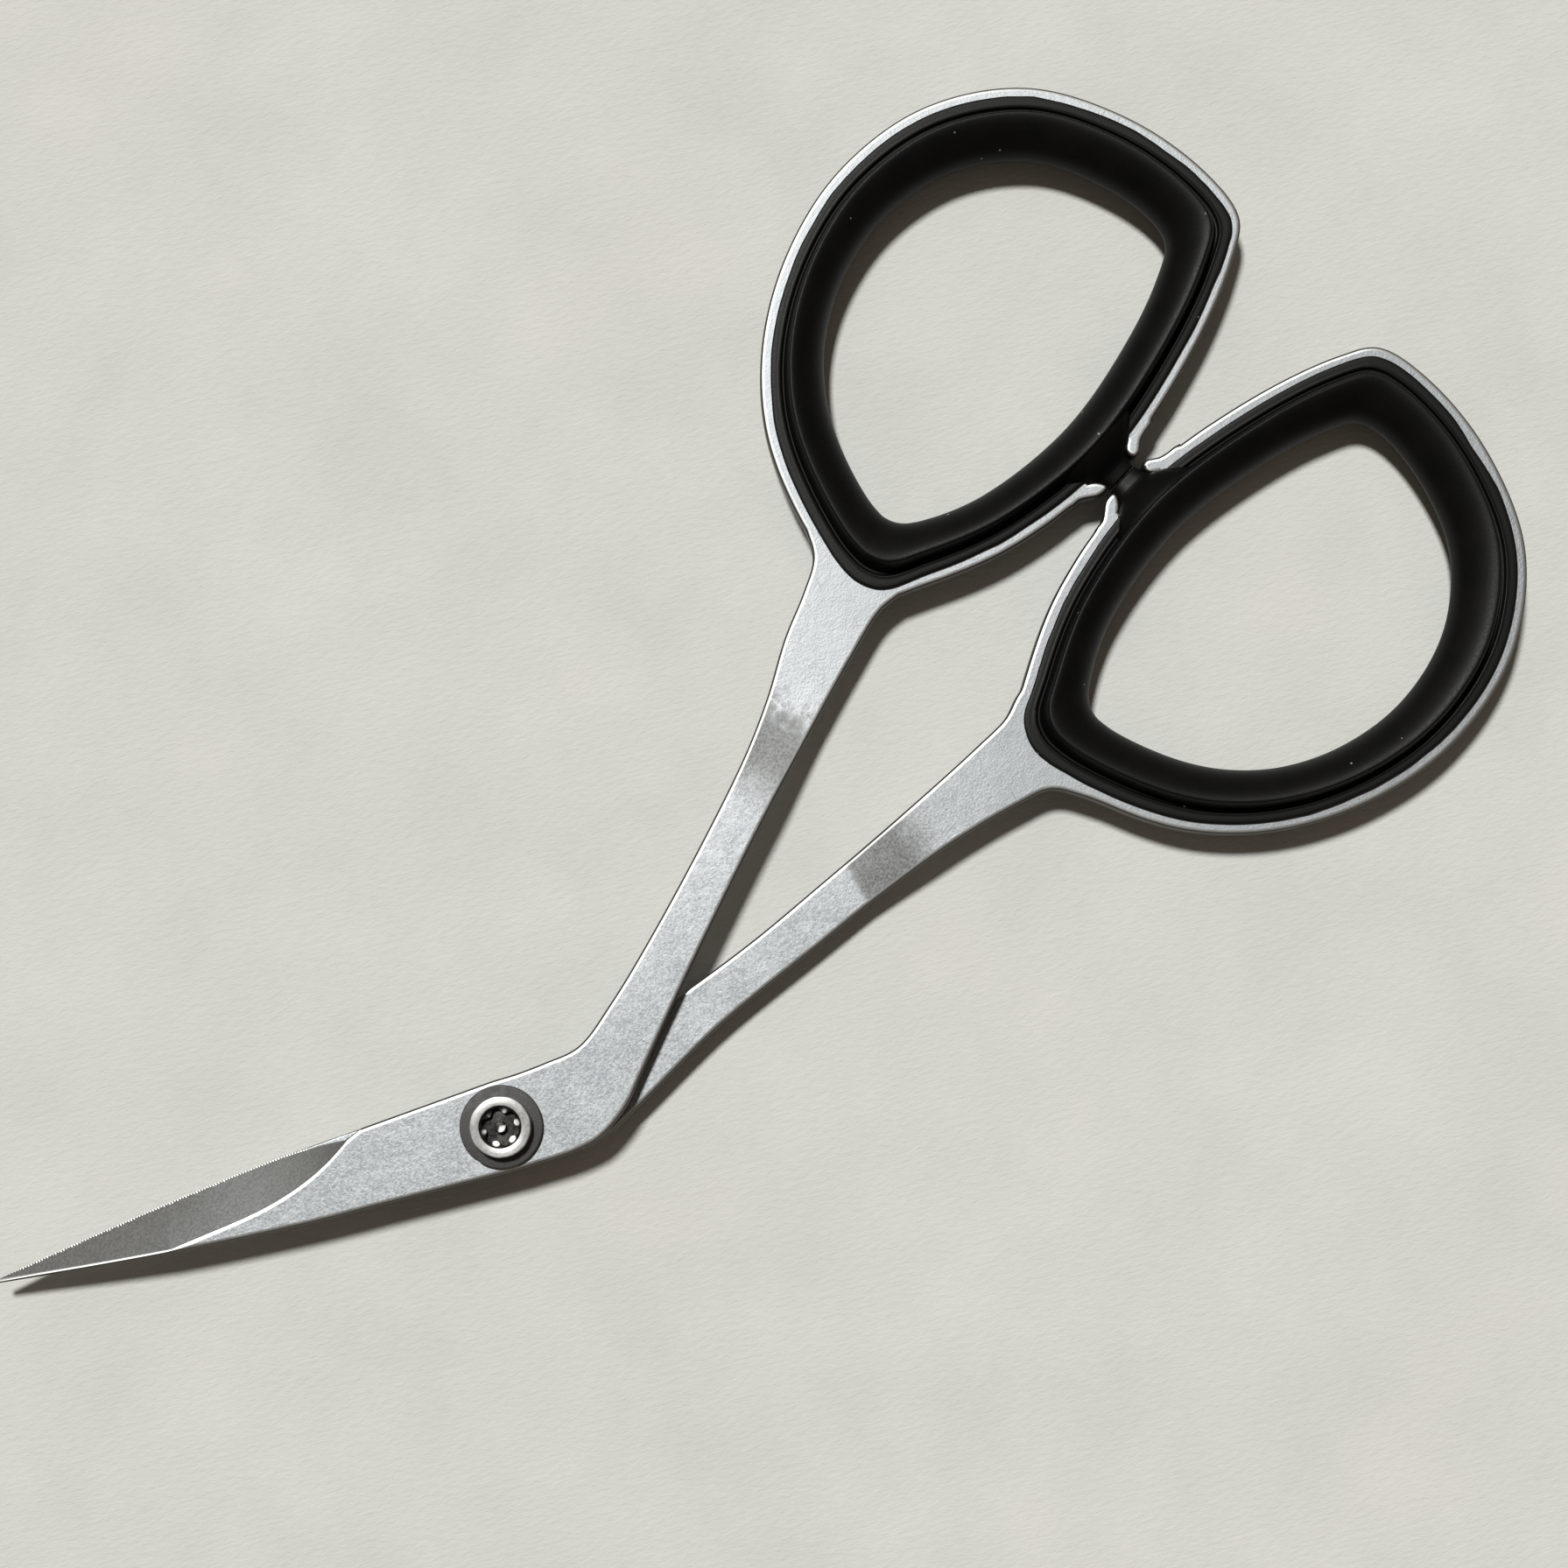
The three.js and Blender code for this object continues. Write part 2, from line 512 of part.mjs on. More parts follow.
const pivot = new THREE.Group();
pivot.add(piece("pivot_nut", pivotNut(), turnedSteel));
pivot.add(piece("nut_washer", nutWasher(), acetal));
pivot.add(piece("head_washer", headWasher(), acetal));
pivot.add(piece("pivot_screw", pivotScrew(), turnedSteel));

const scissors = new THREE.Group();
scissors.add(lowerHalf, upperHalf, pivot);
export default scissors;
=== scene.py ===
# %% [markdown]
# # Goldwork scissors
# A small pair of scissors for metal thread: two bent sheet-steel leaves on a screw, with soft
# rubber moulded into their open finger rings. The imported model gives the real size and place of
# every piece. This lesson gives each one the surface that a hand and an eye would find on it.

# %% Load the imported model
import json
import math

import bmesh
import bpy
import numpy as np
from mathutils import Matrix, Vector, geometry


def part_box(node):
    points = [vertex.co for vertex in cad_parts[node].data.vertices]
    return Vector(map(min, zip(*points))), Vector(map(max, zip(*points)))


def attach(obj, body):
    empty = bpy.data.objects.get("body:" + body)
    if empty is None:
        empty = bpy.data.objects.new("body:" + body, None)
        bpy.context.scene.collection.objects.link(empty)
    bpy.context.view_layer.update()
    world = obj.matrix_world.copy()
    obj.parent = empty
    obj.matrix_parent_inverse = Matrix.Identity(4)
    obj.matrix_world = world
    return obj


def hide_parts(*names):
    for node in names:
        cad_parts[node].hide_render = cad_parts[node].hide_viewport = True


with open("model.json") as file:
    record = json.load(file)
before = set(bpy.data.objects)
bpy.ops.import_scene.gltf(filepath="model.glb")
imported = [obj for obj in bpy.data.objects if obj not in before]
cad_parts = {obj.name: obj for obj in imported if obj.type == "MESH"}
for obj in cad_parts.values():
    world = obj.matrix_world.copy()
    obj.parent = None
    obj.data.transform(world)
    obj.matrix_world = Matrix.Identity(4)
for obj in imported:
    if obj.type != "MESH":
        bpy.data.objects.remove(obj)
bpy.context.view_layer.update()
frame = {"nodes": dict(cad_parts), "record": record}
scene = bpy.context.scene
MM = 0.001


def put_in_scene(name, data):
    thing = bpy.data.objects.new(name, data)
    scene.collection.objects.link(thing)
    return thing


def mesh_of(name, corners, edges=(), faces=()):
    """A mesh from corners in mm."""
    mesh = bpy.data.meshes.new(name)
    mesh.from_pydata((np.asarray(corners) * MM).tolist(), edges, faces)
    return mesh


print("pieces:", sorted(frame["nodes"]))

# %% [markdown]
# ## Camera
# The picture looks almost straight down, from about a forearm's length. The camera leans five
# degrees, which shows a sliver of the leaves' side walls. A turn, a tilt and a roll say all of it.

# %% Camera
CAMERA_PLACE = (14.19, -7.92, 204.76)  # mm
CAMERA_TURN = -55.6  # degrees about the table's normal
CAMERA_TILT = 5.07
CAMERA_ROLL = 9.25
LENS = 70.35  # mm on a 36 mm sensor

camera = put_in_scene("camera", bpy.data.cameras.new("camera"))
camera.data.lens = LENS
camera.data.clip_start = 0.01
camera.location = Vector(CAMERA_PLACE) * MM
camera.rotation_mode = "QUATERNION"
turn, tilt, roll = (math.radians(a) for a in (CAMERA_TURN, CAMERA_TILT, CAMERA_ROLL))
camera.rotation_quaternion = (
    Matrix.Rotation(turn, 3, "Z") @ Matrix.Rotation(tilt, 3, "X") @ Matrix.Rotation(roll, 3, "Z")
).to_quaternion()
scene.camera = camera
scene.view_settings.view_transform = "Standard"
print("camera looks along", [round(v, 3) for v in camera.rotation_quaternion @ Vector((0, 0, -1))])

# %% [markdown]
# ## Light
# One lamp, high on the far left of the picture, throws a short shadow with a soft rim. The rest
# of the room is a dim warm dome with a pale patch right overhead. Polished metal shows what is
# round it: the patch makes its flat faces light, and the dim walls draw the dark line along
# every rounded edge, which the steel's finish also paints in dark.

# %% Lamp
LAMP_AZIMUTH = 72.8  # degrees from X, where the light comes from
LAMP_ELEVATION = 66.0
LAMP_SPREAD = 8.0  # degrees that the lamp looks wide, which softens the shadow's rim
LAMP_STRENGTH = 3.12


def direction(azimuth, elevation):
    a, e = math.radians(azimuth), math.radians(elevation)
    return Vector((math.cos(a) * math.cos(e), math.sin(a) * math.cos(e), math.sin(e)))


lamp = put_in_scene("lamp", bpy.data.lights.new("lamp", "SUN"))
lamp.data.energy = LAMP_STRENGTH
lamp.data.angle = math.radians(LAMP_SPREAD)
lamp.data.color = (1.0, 1.0, 0.975)
lamp.rotation_mode = "QUATERNION"
lamp.rotation_quaternion = direction(LAMP_AZIMUTH, LAMP_ELEVATION).to_track_quat("Z", "Y")
print("lamp from", [round(v, 2) for v in direction(LAMP_AZIMUTH, LAMP_ELEVATION)])

# %% Short words for node trees
class Nodes:
    """A node tree, and short words for adding and joining its nodes."""

    def __init__(self, tree):
        self.tree = tree
        tree.nodes.clear()

    def put(self, socket, value):
        if isinstance(value, bpy.types.NodeSocket):
            self.tree.links.new(value, socket)
        else:
            socket.default_value = value

    def add(self, kind, given=None, **settings):
        """A node with its settings, and with the given values in its inputs."""
        node = self.tree.nodes.new(kind)
        for name, value in settings.items():
            setattr(node, name, value)
        for name, value in (given or {}).items():
            self.put(node.inputs[name], value)
        return node

    def math(self, operation, *values):
        return self.add("ShaderNodeMath", dict(enumerate(values)), operation=operation).outputs[0]

    def sum(self, *values):
        return self.math("ADD", *values)

    def product(self, *values):
        return self.math("MULTIPLY", *values)

    def vector(self, operation, *values):
        node = self.add("ShaderNodeVectorMath", dict(enumerate(values)), operation=operation)
        return node.outputs["Value" if operation == "LENGTH" else "Vector"]

    def scaled(self, value, amount):
        given = {"Vector": value, "Scale": amount}
        return self.add("ShaderNodeVectorMath", given, operation="SCALE").outputs["Vector"]

    def split(self, value):
        return self.add("ShaderNodeSeparateXYZ", {0: value}).outputs

    def joined(self, **values):
        return self.add("ShaderNodeCombineXYZ", values).outputs[0]

    def spread(self, value, low, high, out_low=0.0, out_high=1.0):
        """A number spread from one range over another, and held at its ends."""
        given = dict(enumerate((value, low, high, out_low, out_high)))
        return self.add("ShaderNodeMapRange", given).outputs[0]

    def colour(self, share, low, high):
        given = {"Factor": share}
        for i, value in ((6, low), (7, high)):
            given[i] = value if isinstance(value, bpy.types.NodeSocket) else (*value, 1.0)
        return self.add("ShaderNodeMix", given, data_type="RGBA").outputs[2]


# %% Short words for materials
finishes = {}  # a material for each slot, and the paper's


def finish(name, constants=None):
    """A new material's nodes, and the inputs of its shader, which holds the constants."""
    material = finishes[name] = bpy.data.materials.new(name)
    material.use_nodes = True
    nodes = Nodes(material.node_tree)
    shader = nodes.add("ShaderNodeBsdfPrincipled", constants)
    nodes.add("ShaderNodeOutputMaterial", {"Surface": shader.outputs[0]})
    return nodes, shader.inputs


def place(nodes, stretch=(1, 1, 1), turned=0.0):
    """Object coordinates in millimetres, with patterns stretched along axes turned about Z."""
    return nodes.add("ShaderNodeMapping", {
        "Vector": nodes.add("ShaderNodeTexCoord").outputs["Object"],
        "Rotation": (0, 0, math.radians(turned)), "Scale": [s * MM for s in stretch],
    }, vector_type="TEXTURE").outputs[0]


def noise(nodes, where, per_mm, detail=2.0, roughness=0.5):
    return nodes.add("ShaderNodeTexNoise", {
        "Vector": where, "Scale": per_mm, "Detail": detail, "Roughness": roughness,
    }).outputs["Fac"]


def bump(nodes, height, distance, **under):
    given = {"Strength": 1.0, "Distance": distance * MM, "Height": height, **under}
    return nodes.add("ShaderNodeBump", given).outputs[0]


def number(nodes, name):
    return nodes.add("ShaderNodeAttribute", attribute_name=name).outputs["Fac"]


# %% Room
ROOM_PATCH = (0.10, 0.088, 0.08)
ROOM_WALL = (0.128, 0.106, 0.085)
ROOM_HORIZON = (0.085, 0.065, 0.048)
WALL_HEIGHT = 0.8  # sine of the angle up at which the wall's full tone is reached
PATCH_REACH = (27.0, 11.0)  # degrees from overhead at which the patch starts, and is full
TABLE_BEHIND = (0.62, 0.62, 0.58)  # what the camera sees past the paper

room = bpy.data.worlds.new("room")
scene.world = room
room.use_nodes = True
n = Nodes(room.node_tree)
up = n.split(n.add("ShaderNodeTexCoord").outputs["Generated"])["Z"]
walls = n.colour(n.spread(up, 0.0, WALL_HEIGHT), ROOM_HORIZON, ROOM_WALL)
patch = n.spread(up, *(math.cos(math.radians(a)) for a in PATCH_REACH))
seen = n.colour(patch, walls, ROOM_PATCH)
behind = n.colour(n.add("ShaderNodeLightPath").outputs["Is Camera Ray"], seen, TABLE_BEHIND)
background = n.add("ShaderNodeBackground", {"Color": behind})
n.add("ShaderNodeOutputWorld", {"Surface": background.outputs[0]})
print("room:", ROOM_PATCH, "overhead,", ROOM_HORIZON, "at the horizon")

# %% [markdown]
# ## Table
# The scissors lie on a sheet of pale paper. Paper isn't one colour: it is mottled, its fibres
# raise it a little, and it is warmer in some places. All of that is noise at three sizes.

# %% Paper
PAPER_REACH = 900  # mm
PAPER_TONES = (0.590, 0.602, 0.577), (0.728, 0.738, 0.711)
PAPER_WARM = (0.68, 0.66, 0.62)
PAPER_WARMTH = 0.35
FIBRE_TURN = -32  # degrees from X, along which most of its fibres lie
FIBRE_RELIEF = 0.09  # mm

n, into = finish("paper", {"Roughness": 0.85, "Specular IOR Level": 0.2})
where = place(n)
mottle = n.spread(noise(n, where, 0.09, 5, 0.6), 0.3, 0.7)
warmth = n.spread(noise(n, where, 0.045, 2), 0.4, 0.75, 0.0, PAPER_WARMTH)
fibre = noise(n, place(n, (1.9, 0.75, 1), FIBRE_TURN), 2.4, 5, 0.68)
pale = n.sum(n.product(mottle, 0.5), n.product(fibre, 0.5))
n.put(into["Base Color"], n.colour(warmth, n.colour(pale, *PAPER_TONES), PAPER_WARM))
n.put(into["Normal"], bump(n, fibre, FIBRE_RELIEF))

corners = np.array([(-1, -1, 0), (1, -1, 0), (1, 1, 0), (-1, 1, 0)]) * PAPER_REACH
paper = put_in_scene("paper", mesh_of("paper", corners, faces=[(0, 1, 2, 3)]))
paper.data.materials.append(finishes["paper"])
print("paper:", len(n.tree.nodes), "nodes,", 2 * PAPER_REACH, "mm wide")

# %% [markdown]
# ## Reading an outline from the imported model
# Each leaf is cut from sheet, so its shape is an outline in plan and a height at every point of
# it. The flat face that meets the other leaf keeps the whole outline, because nothing is ground
# off it. A node's mesh is loose triangles, so a copy is welded first, and the rim of that face
# is then walked from corner to corner.

# %% Welding a copy, and walking a rim
WELD = 0.001  # mm


def welded(name):
    mesh = bmesh.new()
    mesh.from_mesh(frame["nodes"][name].data)
    bmesh.ops.remove_doubles(mesh, verts=mesh.verts, dist=WELD * MM)
    mesh.normal_update()
    return mesh


def plain(name, shape):
    """A mesh out of a bmesh, with its doubles merged and every face pointing out."""
    bmesh.ops.remove_doubles(shape, verts=shape.verts, dist=WELD * MM)
    bmesh.ops.recalc_face_normals(shape, faces=shape.faces)
    mesh = bpy.data.meshes.new(name)
    shape.to_mesh(mesh)
    shape.free()
    return mesh


def walk(beside):
    """A closed row of corners, taken out of a list of the corners beside each one."""
    ahead = [min(beside, key=lambda vertex: vertex.index)]
    loop = []
    while ahead:
        loop.append(ahead[0])
        ahead = [v for v in beside.pop(loop[-1]) if v in beside]
    return np.array([v.co for v in loop]) / MM


def rims(mesh, inside):
    """Closed rows of corners round the faces for which inside is true, in mm."""
    beside = {}
    for edge in mesh.edges:
        if sum(inside(face) for face in edge.link_faces) == 1:
            for vertex in edge.verts:
                beside.setdefault(vertex, []).append(edge.other_vert(vertex))
    loops = []
    while beside:
        loops.append(walk(beside))
    return loops


def area(loop):
    x, y = loop[:, 0], loop[:, 1]
    return 0.5 * np.sum(x * np.roll(y, -1) - y * np.roll(x, -1))


def turning_left(loop):
    """The same loop in plan, in the order that turns left."""
    loop = loop[:, :2]
    return loop if area(loop) > 0 else loop[::-1]


def unit(ways):
    return ways / np.linalg.norm(ways, axis=1)[:, None]


def left_of(ways):
    """Steps of 1 mm to the left of each way."""
    x, y = unit(ways).T
    return np.column_stack([-y, x])


LEAVES = {"upper_leaf": 1, "lower_leaf": -1}  # 1 where the ground face is on top
FACING = 0.9  # share of its normal toward the other leaf, over which a face is the inner one
raw_outlines = {}
for name, side in LEAVES.items():
    mesh = welded(name)
    loops = rims(mesh, lambda face: -side * face.normal.z > FACING)
    mesh.free()
    plan, bore = sorted(map(turning_left, loops), key=area, reverse=True)
    raw_outlines[name] = (plan, bore[::-1])
    print(name, "outline and bore:", len(plan), len(bore), "corners")

# %% [markdown]
# ## The blade's own measures
# The blades are straight, so everything on them is easiest to say along and across the blade.
# Distance from the pivot gives the taper, the sharpened edge and how far up the wheel ground.

# %% Along and across the blade
BEND_ANGLE = 29.35  # degrees between the blades and the middle line of the handles
BLADE_LENGTH = 34.4
HUB_HALF_WIDTH = 3.0
HEEL = 9.9
HEEL_HALF_WIDTH = 2.52
HEEL_INSET = 0.34
HEEL_INSET_LENGTH = 5.5
TIP_HALF_WIDTH = 0.1
BLADE_TAPER = 1.4
BEVEL_WIDTH = 2.95
BEVEL_RUNOUT = 10.0
BEVEL_LEAST_WIDTH = 0.22
BEVEL_END_WIDTH = 0.12
HEEL_SLOPE = 1.2  # behind the heel, over which the edge's inset and the ground face run out
EDGE_THICKNESS = 0.1
TOOTH_START = 12.6

blade_turn = math.radians(180 - BEND_ANGLE)
ALONG = np.array([math.cos(blade_turn), math.sin(blade_turn)])
ACROSS = np.array([math.sin(blade_turn), -math.cos(blade_turn)])  # to the upper cutting edge


def half_width(b):
    past = np.clip((b - HEEL) / (BLADE_LENGTH - HEEL), 0, 1)
    straight = HUB_HALF_WIDTH + (HEEL_HALF_WIDTH - HUB_HALF_WIDTH) * np.clip(b / HEEL, 0, 1)
    return straight - (HEEL_HALF_WIDTH - TIP_HALF_WIDTH) * past**BLADE_TAPER


def cutting_edge(b):
    inset = HEEL_INSET * np.clip(1 - (b - HEEL) / HEEL_INSET_LENGTH, 0, 1) ** 2
    return half_width(b) - inset * np.clip(1 - (HEEL - b) / HEEL_SLOPE, 0, 1)


def bevel_width(b):
    left = np.clip(1 - (b - HEEL) / BEVEL_RUNOUT, 0, 1)
    behind = np.clip((HEEL - b) / HEEL_SLOPE, 0, 1)
    least = BEVEL_LEAST_WIDTH + (BEVEL_END_WIDTH - BEVEL_LEAST_WIDTH) * behind
    return least + (BEVEL_WIDTH - least) * (1 - left**3)


def to_blade(points, side):
    return points @ ALONG, side * (points @ ACROSS)


def from_blade(b, across, side):
    return np.outer(b, ALONG) + np.outer(side * across, ACROSS)


print("edge at the heel and the tip:", cutting_edge(HEEL), round(cutting_edge(BLADE_LENGTH), 3))

# %% [markdown]
# ## Fine outlines
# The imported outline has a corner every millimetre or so. A curve is laid through them wherever
# it bends gently, and real corners stay. The teeth come off here, because they are made later as
# pieces of their own, on the line of their roots.

# %% A curve through the corners
CURVE_STEP = 0.3  # mm
CORNER_TURN = math.radians(28)  # between two sides, from which a corner is real
STRAIGHT_OVER = 3.0  # mm, past which a side is straight and not part of a curve
NEAR_END, NEAR_EDGE = 0.01, 0.015  # mm, within which a corner counts as on it


def cubic(t, start, end, leaving, arriving):
    """A point between two others, on the curve that leaves and reaches them by given steps."""
    return ((2 * t**3 - 3 * t**2 + 1) * start + (3 * t**2 - 2 * t**3) * end
            + (t**3 - 2 * t**2 + t) * leaving + (t**3 - t**2) * arriving)


def fine(loop, step):
    ahead = np.roll(loop, -1, 0) - loop
    length = np.linalg.norm(ahead, axis=1)
    way = ahead / length[:, None]
    before = np.roll(way, 1, 0)
    corner = np.sum(way * before, 1) < math.cos(CORNER_TURN)
    tangent = unit(way + before)
    points = []
    for i, size in enumerate(length):
        j = (i + 1) % len(loop)
        start = way[i] if corner[i] or size > STRAIGHT_OVER else tangent[i]
        end = way[i] if corner[j] or size > STRAIGHT_OVER else tangent[j]
        count = max(1, round(size / step))
        for t in np.arange(count) / count:
            points.append(cubic(t, loop[i], loop[j], size * start, size * end))
    return np.array(points)


outlines = {}
for name, side in LEAVES.items():
    plan, bore = raw_outlines[name]
    b, across = to_blade(plan, side)
    if name == "upper_leaf":
        toothed = (b > TOOTH_START - NEAR_END) & (b < BLADE_LENGTH - NEAR_END)
        plan = plan[~(toothed & (abs(across - cutting_edge(b)) < NEAR_EDGE))]
    outlines[name] = (fine(plan, CURVE_STEP), fine(bore, CURVE_STEP))
    print(name, "fine outline:", len(outlines[name][0]), "corners")

# %% [markdown]
# ## Heights of a leaf
# Three things set the height. The sheet is flat at the hub and at the ring, and steps between
# the two at a joggle. A grinding wheel slants the blade down to its cutting edge, and leaves the
# steel in a curve at the heel. Tumbling rounds every edge that isn't sharpened.

# %% The joggle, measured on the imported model
SOFT_BEND = 1.1  # mm to each side of a bend over which the sheet curves
CRISP_BEND = {1: 1.0, -1: 0.15}  # the same for the bend at the ramp's upper end, on each leaf
BORDER = {1: 0.12, -1: 0.6}  # how sharply the roughened skin ends there, 1 being sharpest
SAME_LEAN = 1e-4  # of a unit normal's height


def read_joggle(name, side):
    """The way that the sheet slopes in plan, where it starts, how long it is, and its levels."""
    mesh = welded(name)
    inner = [face for face in mesh.faces if -side * face.normal.z > FACING]
    lean = min(-side * face.normal.z for face in inner)
    ramp = [face for face in inner if -side * face.normal.z < lean + SAME_LEAN]
    steep = max(ramp, key=lambda face: face.calc_area())
    normal, point = steep.normal.copy(), steep.verts[0].co / MM
    heights = [vertex.co.z / MM for face in inner for vertex in face.verts]
    mesh.free()
    hub, ring = (max(heights), min(heights))[::side]
    downhill = Vector((normal.x, normal.y)) / normal.z
    way = downhill.normalized() * side
    start = point.xy.dot(way) - abs(point.z - hub) / downhill.length
    run = abs(ring - hub) / downhill.length
    return {"way": np.array(way), "start": start, "run": run, "hub": hub, "ring": ring}


joggles = {name: read_joggle(name, side) for name, side in LEAVES.items()}
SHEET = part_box("upper_leaf")[1].z / MM - joggles["upper_leaf"]["hub"]
for name, joggle in joggles.items():
    print(name, {key: np.round(value, 3).tolist() for key, value in joggle.items()})
print("sheet:", round(SHEET, 3), "mm")


def bends(side):
    return (SOFT_BEND, CRISP_BEND[side])[::side]


def inner_face(points, joggle, side):
    """Height of the face towards the other leaf, with a curve at both bends."""
    x = points @ joggle["way"] - joggle["start"]
    run, (first, last) = joggle["run"], bends(side)
    ramp = np.clip(x, 0, run)
    ramp = np.where(abs(x) < first, (x + first) ** 2 / (4 * first), ramp)
    ramp = np.where(abs(x - run) < last, run - (run + last - x) ** 2 / (4 * last), ramp)
    return joggle["hub"] + (joggle["ring"] - joggle["hub"]) * ramp / run


def from_crisp_bend(points, joggle, side):
    """How far, in mm, each point lies past the crisp bend, squeezed near the bend itself."""
    x = points @ joggle["way"] - joggle["start"]
    past = (joggle["run"] - x, x)[::side][0]
    return np.where(past < SOFT_BEND, past * BORDER[side], past)


# %% Thickness of a leaf
EDGE_ROUND = 0.25  # mm that tumbling rounds off the flat face
EDGE_CORNER = 0.13  # the outer part of it, which turns down into the side
EDGE_SLOPE = 0.30  # of the inner part where it meets the corner
EDGE_DROP = 0.16  # mm that the corner falls beyond that slope
BEVEL_SLOPE = (SHEET - EDGE_THICKNESS) / BEVEL_WIDTH
BEVEL_BLEND = 0.045  # mm of height over which the flat turns into the ground face
FACET_WIDTH = 0.07  # of the steep facet that sharpens the edge near the heel
EDGE_FADE, EDGE_END = 3, 1.1  # how sharply the rounding's polish ends, and its share that has it
BOUNDARY_END = 1.3  # the same for the ground face's border, in blends
PAINTED_DARK_RIM_WIDTH = 0.14  # mm of the rounding next to the side that are painted dark, as the side is
PAINTED_DARK_RIM_FADE = 1.8
THIN = 0.5  # mm, under which a blade's rounding gets smaller with its thickness
SLANTED = 0.08  # mm of height over which the ground face's finish starts
INNER_ROUND = 0.35  # share of that rounding on the blade's inner face, which is lapped flat
LAPPED_REACH = (4, 7)  # mm from the pivot, over which the lapping starts


def ground_height(b, across):
    """Height of the ground face over the leaf's inner face, and well over both where it ends."""
    edge, width = cutting_edge(b), bevel_width(b)
    height = SHEET - BEVEL_SLOPE * (across - edge + width)
    facet_top = SHEET - BEVEL_SLOPE * (width - FACET_WIDTH)
    facet = EDGE_THICKNESS + (facet_top - EDGE_THICKNESS) * (edge - across) / FACET_WIDTH
    height = np.where(b > HEEL, np.minimum(height, np.maximum(facet, EDGE_THICKNESS)), height)
    return np.where(b > HEEL - HEEL_SLOPE, height, 2 * SHEET)


def rounding(gap, size):
    """How far the face drops at a distance from the outline, for a thinner blade less."""
    inner = np.clip(EDGE_ROUND - gap / size, 0, EDGE_ROUND - EDGE_CORNER)
    outer = np.clip(EDGE_CORNER - gap / size, 0, EDGE_CORNER)
    drop = EDGE_SLOPE * (inner**2 / (2 * (EDGE_ROUND - EDGE_CORNER)) + outer)
    return size * (drop + EDGE_DROP * (1 - np.sqrt(1 - (outer / EDGE_CORNER) ** 2)))


def soft_least(a, b, blend):
    share = np.clip(0.5 + 0.5 * (b - a) / blend, 0, 1)
    return b + (a - b) * share - blend * share * (1 - share)


print("the ground face falls", round(BEVEL_SLOPE, 3), "mm for each mm across the blade")

# %% Distances and insides in the plan
BATCH = 1000  # points at a time, which keeps the tables small


def distance(points, starts, ends):
    """From each point to the nearest of a number of straight sides."""
    along = ends - starts
    nearest = []
    for some in np.array_split(points, len(points) // BATCH + 1):
        offset = some[:, None, :] - starts[None]
        t = np.clip(np.sum(offset * along, 2) / np.sum(along**2, 1), 0, 1)
        gap = offset - t[..., None] * along
        nearest.append(np.sqrt(np.min(np.sum(gap**2, 2), 1)))
    return np.concatenate(nearest)


def inside(points, loops):
    """Whether each point is inside the outline and outside the holes."""
    x, y = points.T
    crossings = np.zeros(len(points), int)
    for loop in loops:
        for (x1, y1), (x2, y2) in zip(loop, np.roll(loop, -1, 0)):
            if y1 != y2:
                beside = (y > min(y1, y2)) & (y <= max(y1, y2))
                crossings += beside & (x < x1 + (y - y1) * (x2 - x1) / (y2 - y1))
    return crossings % 2 == 1


# %% [markdown]
# ## A leaf as one closed mesh
# The plan is filled with triangles that keep to given lines: the outline, rows just inside it
# for the rounded edge, rows along the edge of the ground face, and lines across the joggle. Each
# corner then gets its two heights from the rules above, so every line is where the surface
# turns. Three numbers are kept on each corner for the finish: how rounded it is, rising further
# where the rim next to the side is painted dark, how ground it is, and how far it lies past the
# joggle's crisp bend.

# %% Lines that the triangles keep to
ROUND_ROWS = (0.006, 0.02, 0.04, 0.065, 0.09, 0.12, 0.165, 0.21, 0.25, 0.3)  # mm inside the outline
BEVEL_ROWS = (-0.15, -0.1, -0.05, 0.0, 0.05, 0.1, 0.15)  # mm to each side of the ground face's edge
BEVEL_LINES, BEVEL_CROWDING = 90, 1.6  # across the blade, and how much closer near the heel
HEEL_LINES = 12  # behind the heel
BLADE_OVERLAP = (0.2, 0.4)  # mm past the edge and past the ground face
BEND_LINES = (-1, -0.6, -0.2, 0.2, 0.6, 1)  # shares of each bend's reach
ACROSS_STEM = 9.0  # mm, half the length of a line across the stem
CLEAR = 0.96  # share of its depth that a row keeps from the outline, or else it has a gap
SHARP_NEAR = 0.1  # mm from the cutting edge, where the outline is sharpened and not tumbled
SAME_CORNER = 1e-5  # mm


def inset(loop, depth):
    row = loop + depth * left_of(np.roll(loop, -1, 0) - np.roll(loop, 1, 0))
    return row, distance(row, loop, np.roll(loop, -1, 0)) > CLEAR * depth


def segment(start, end):
    return np.array([start, end]), np.array([True, False])


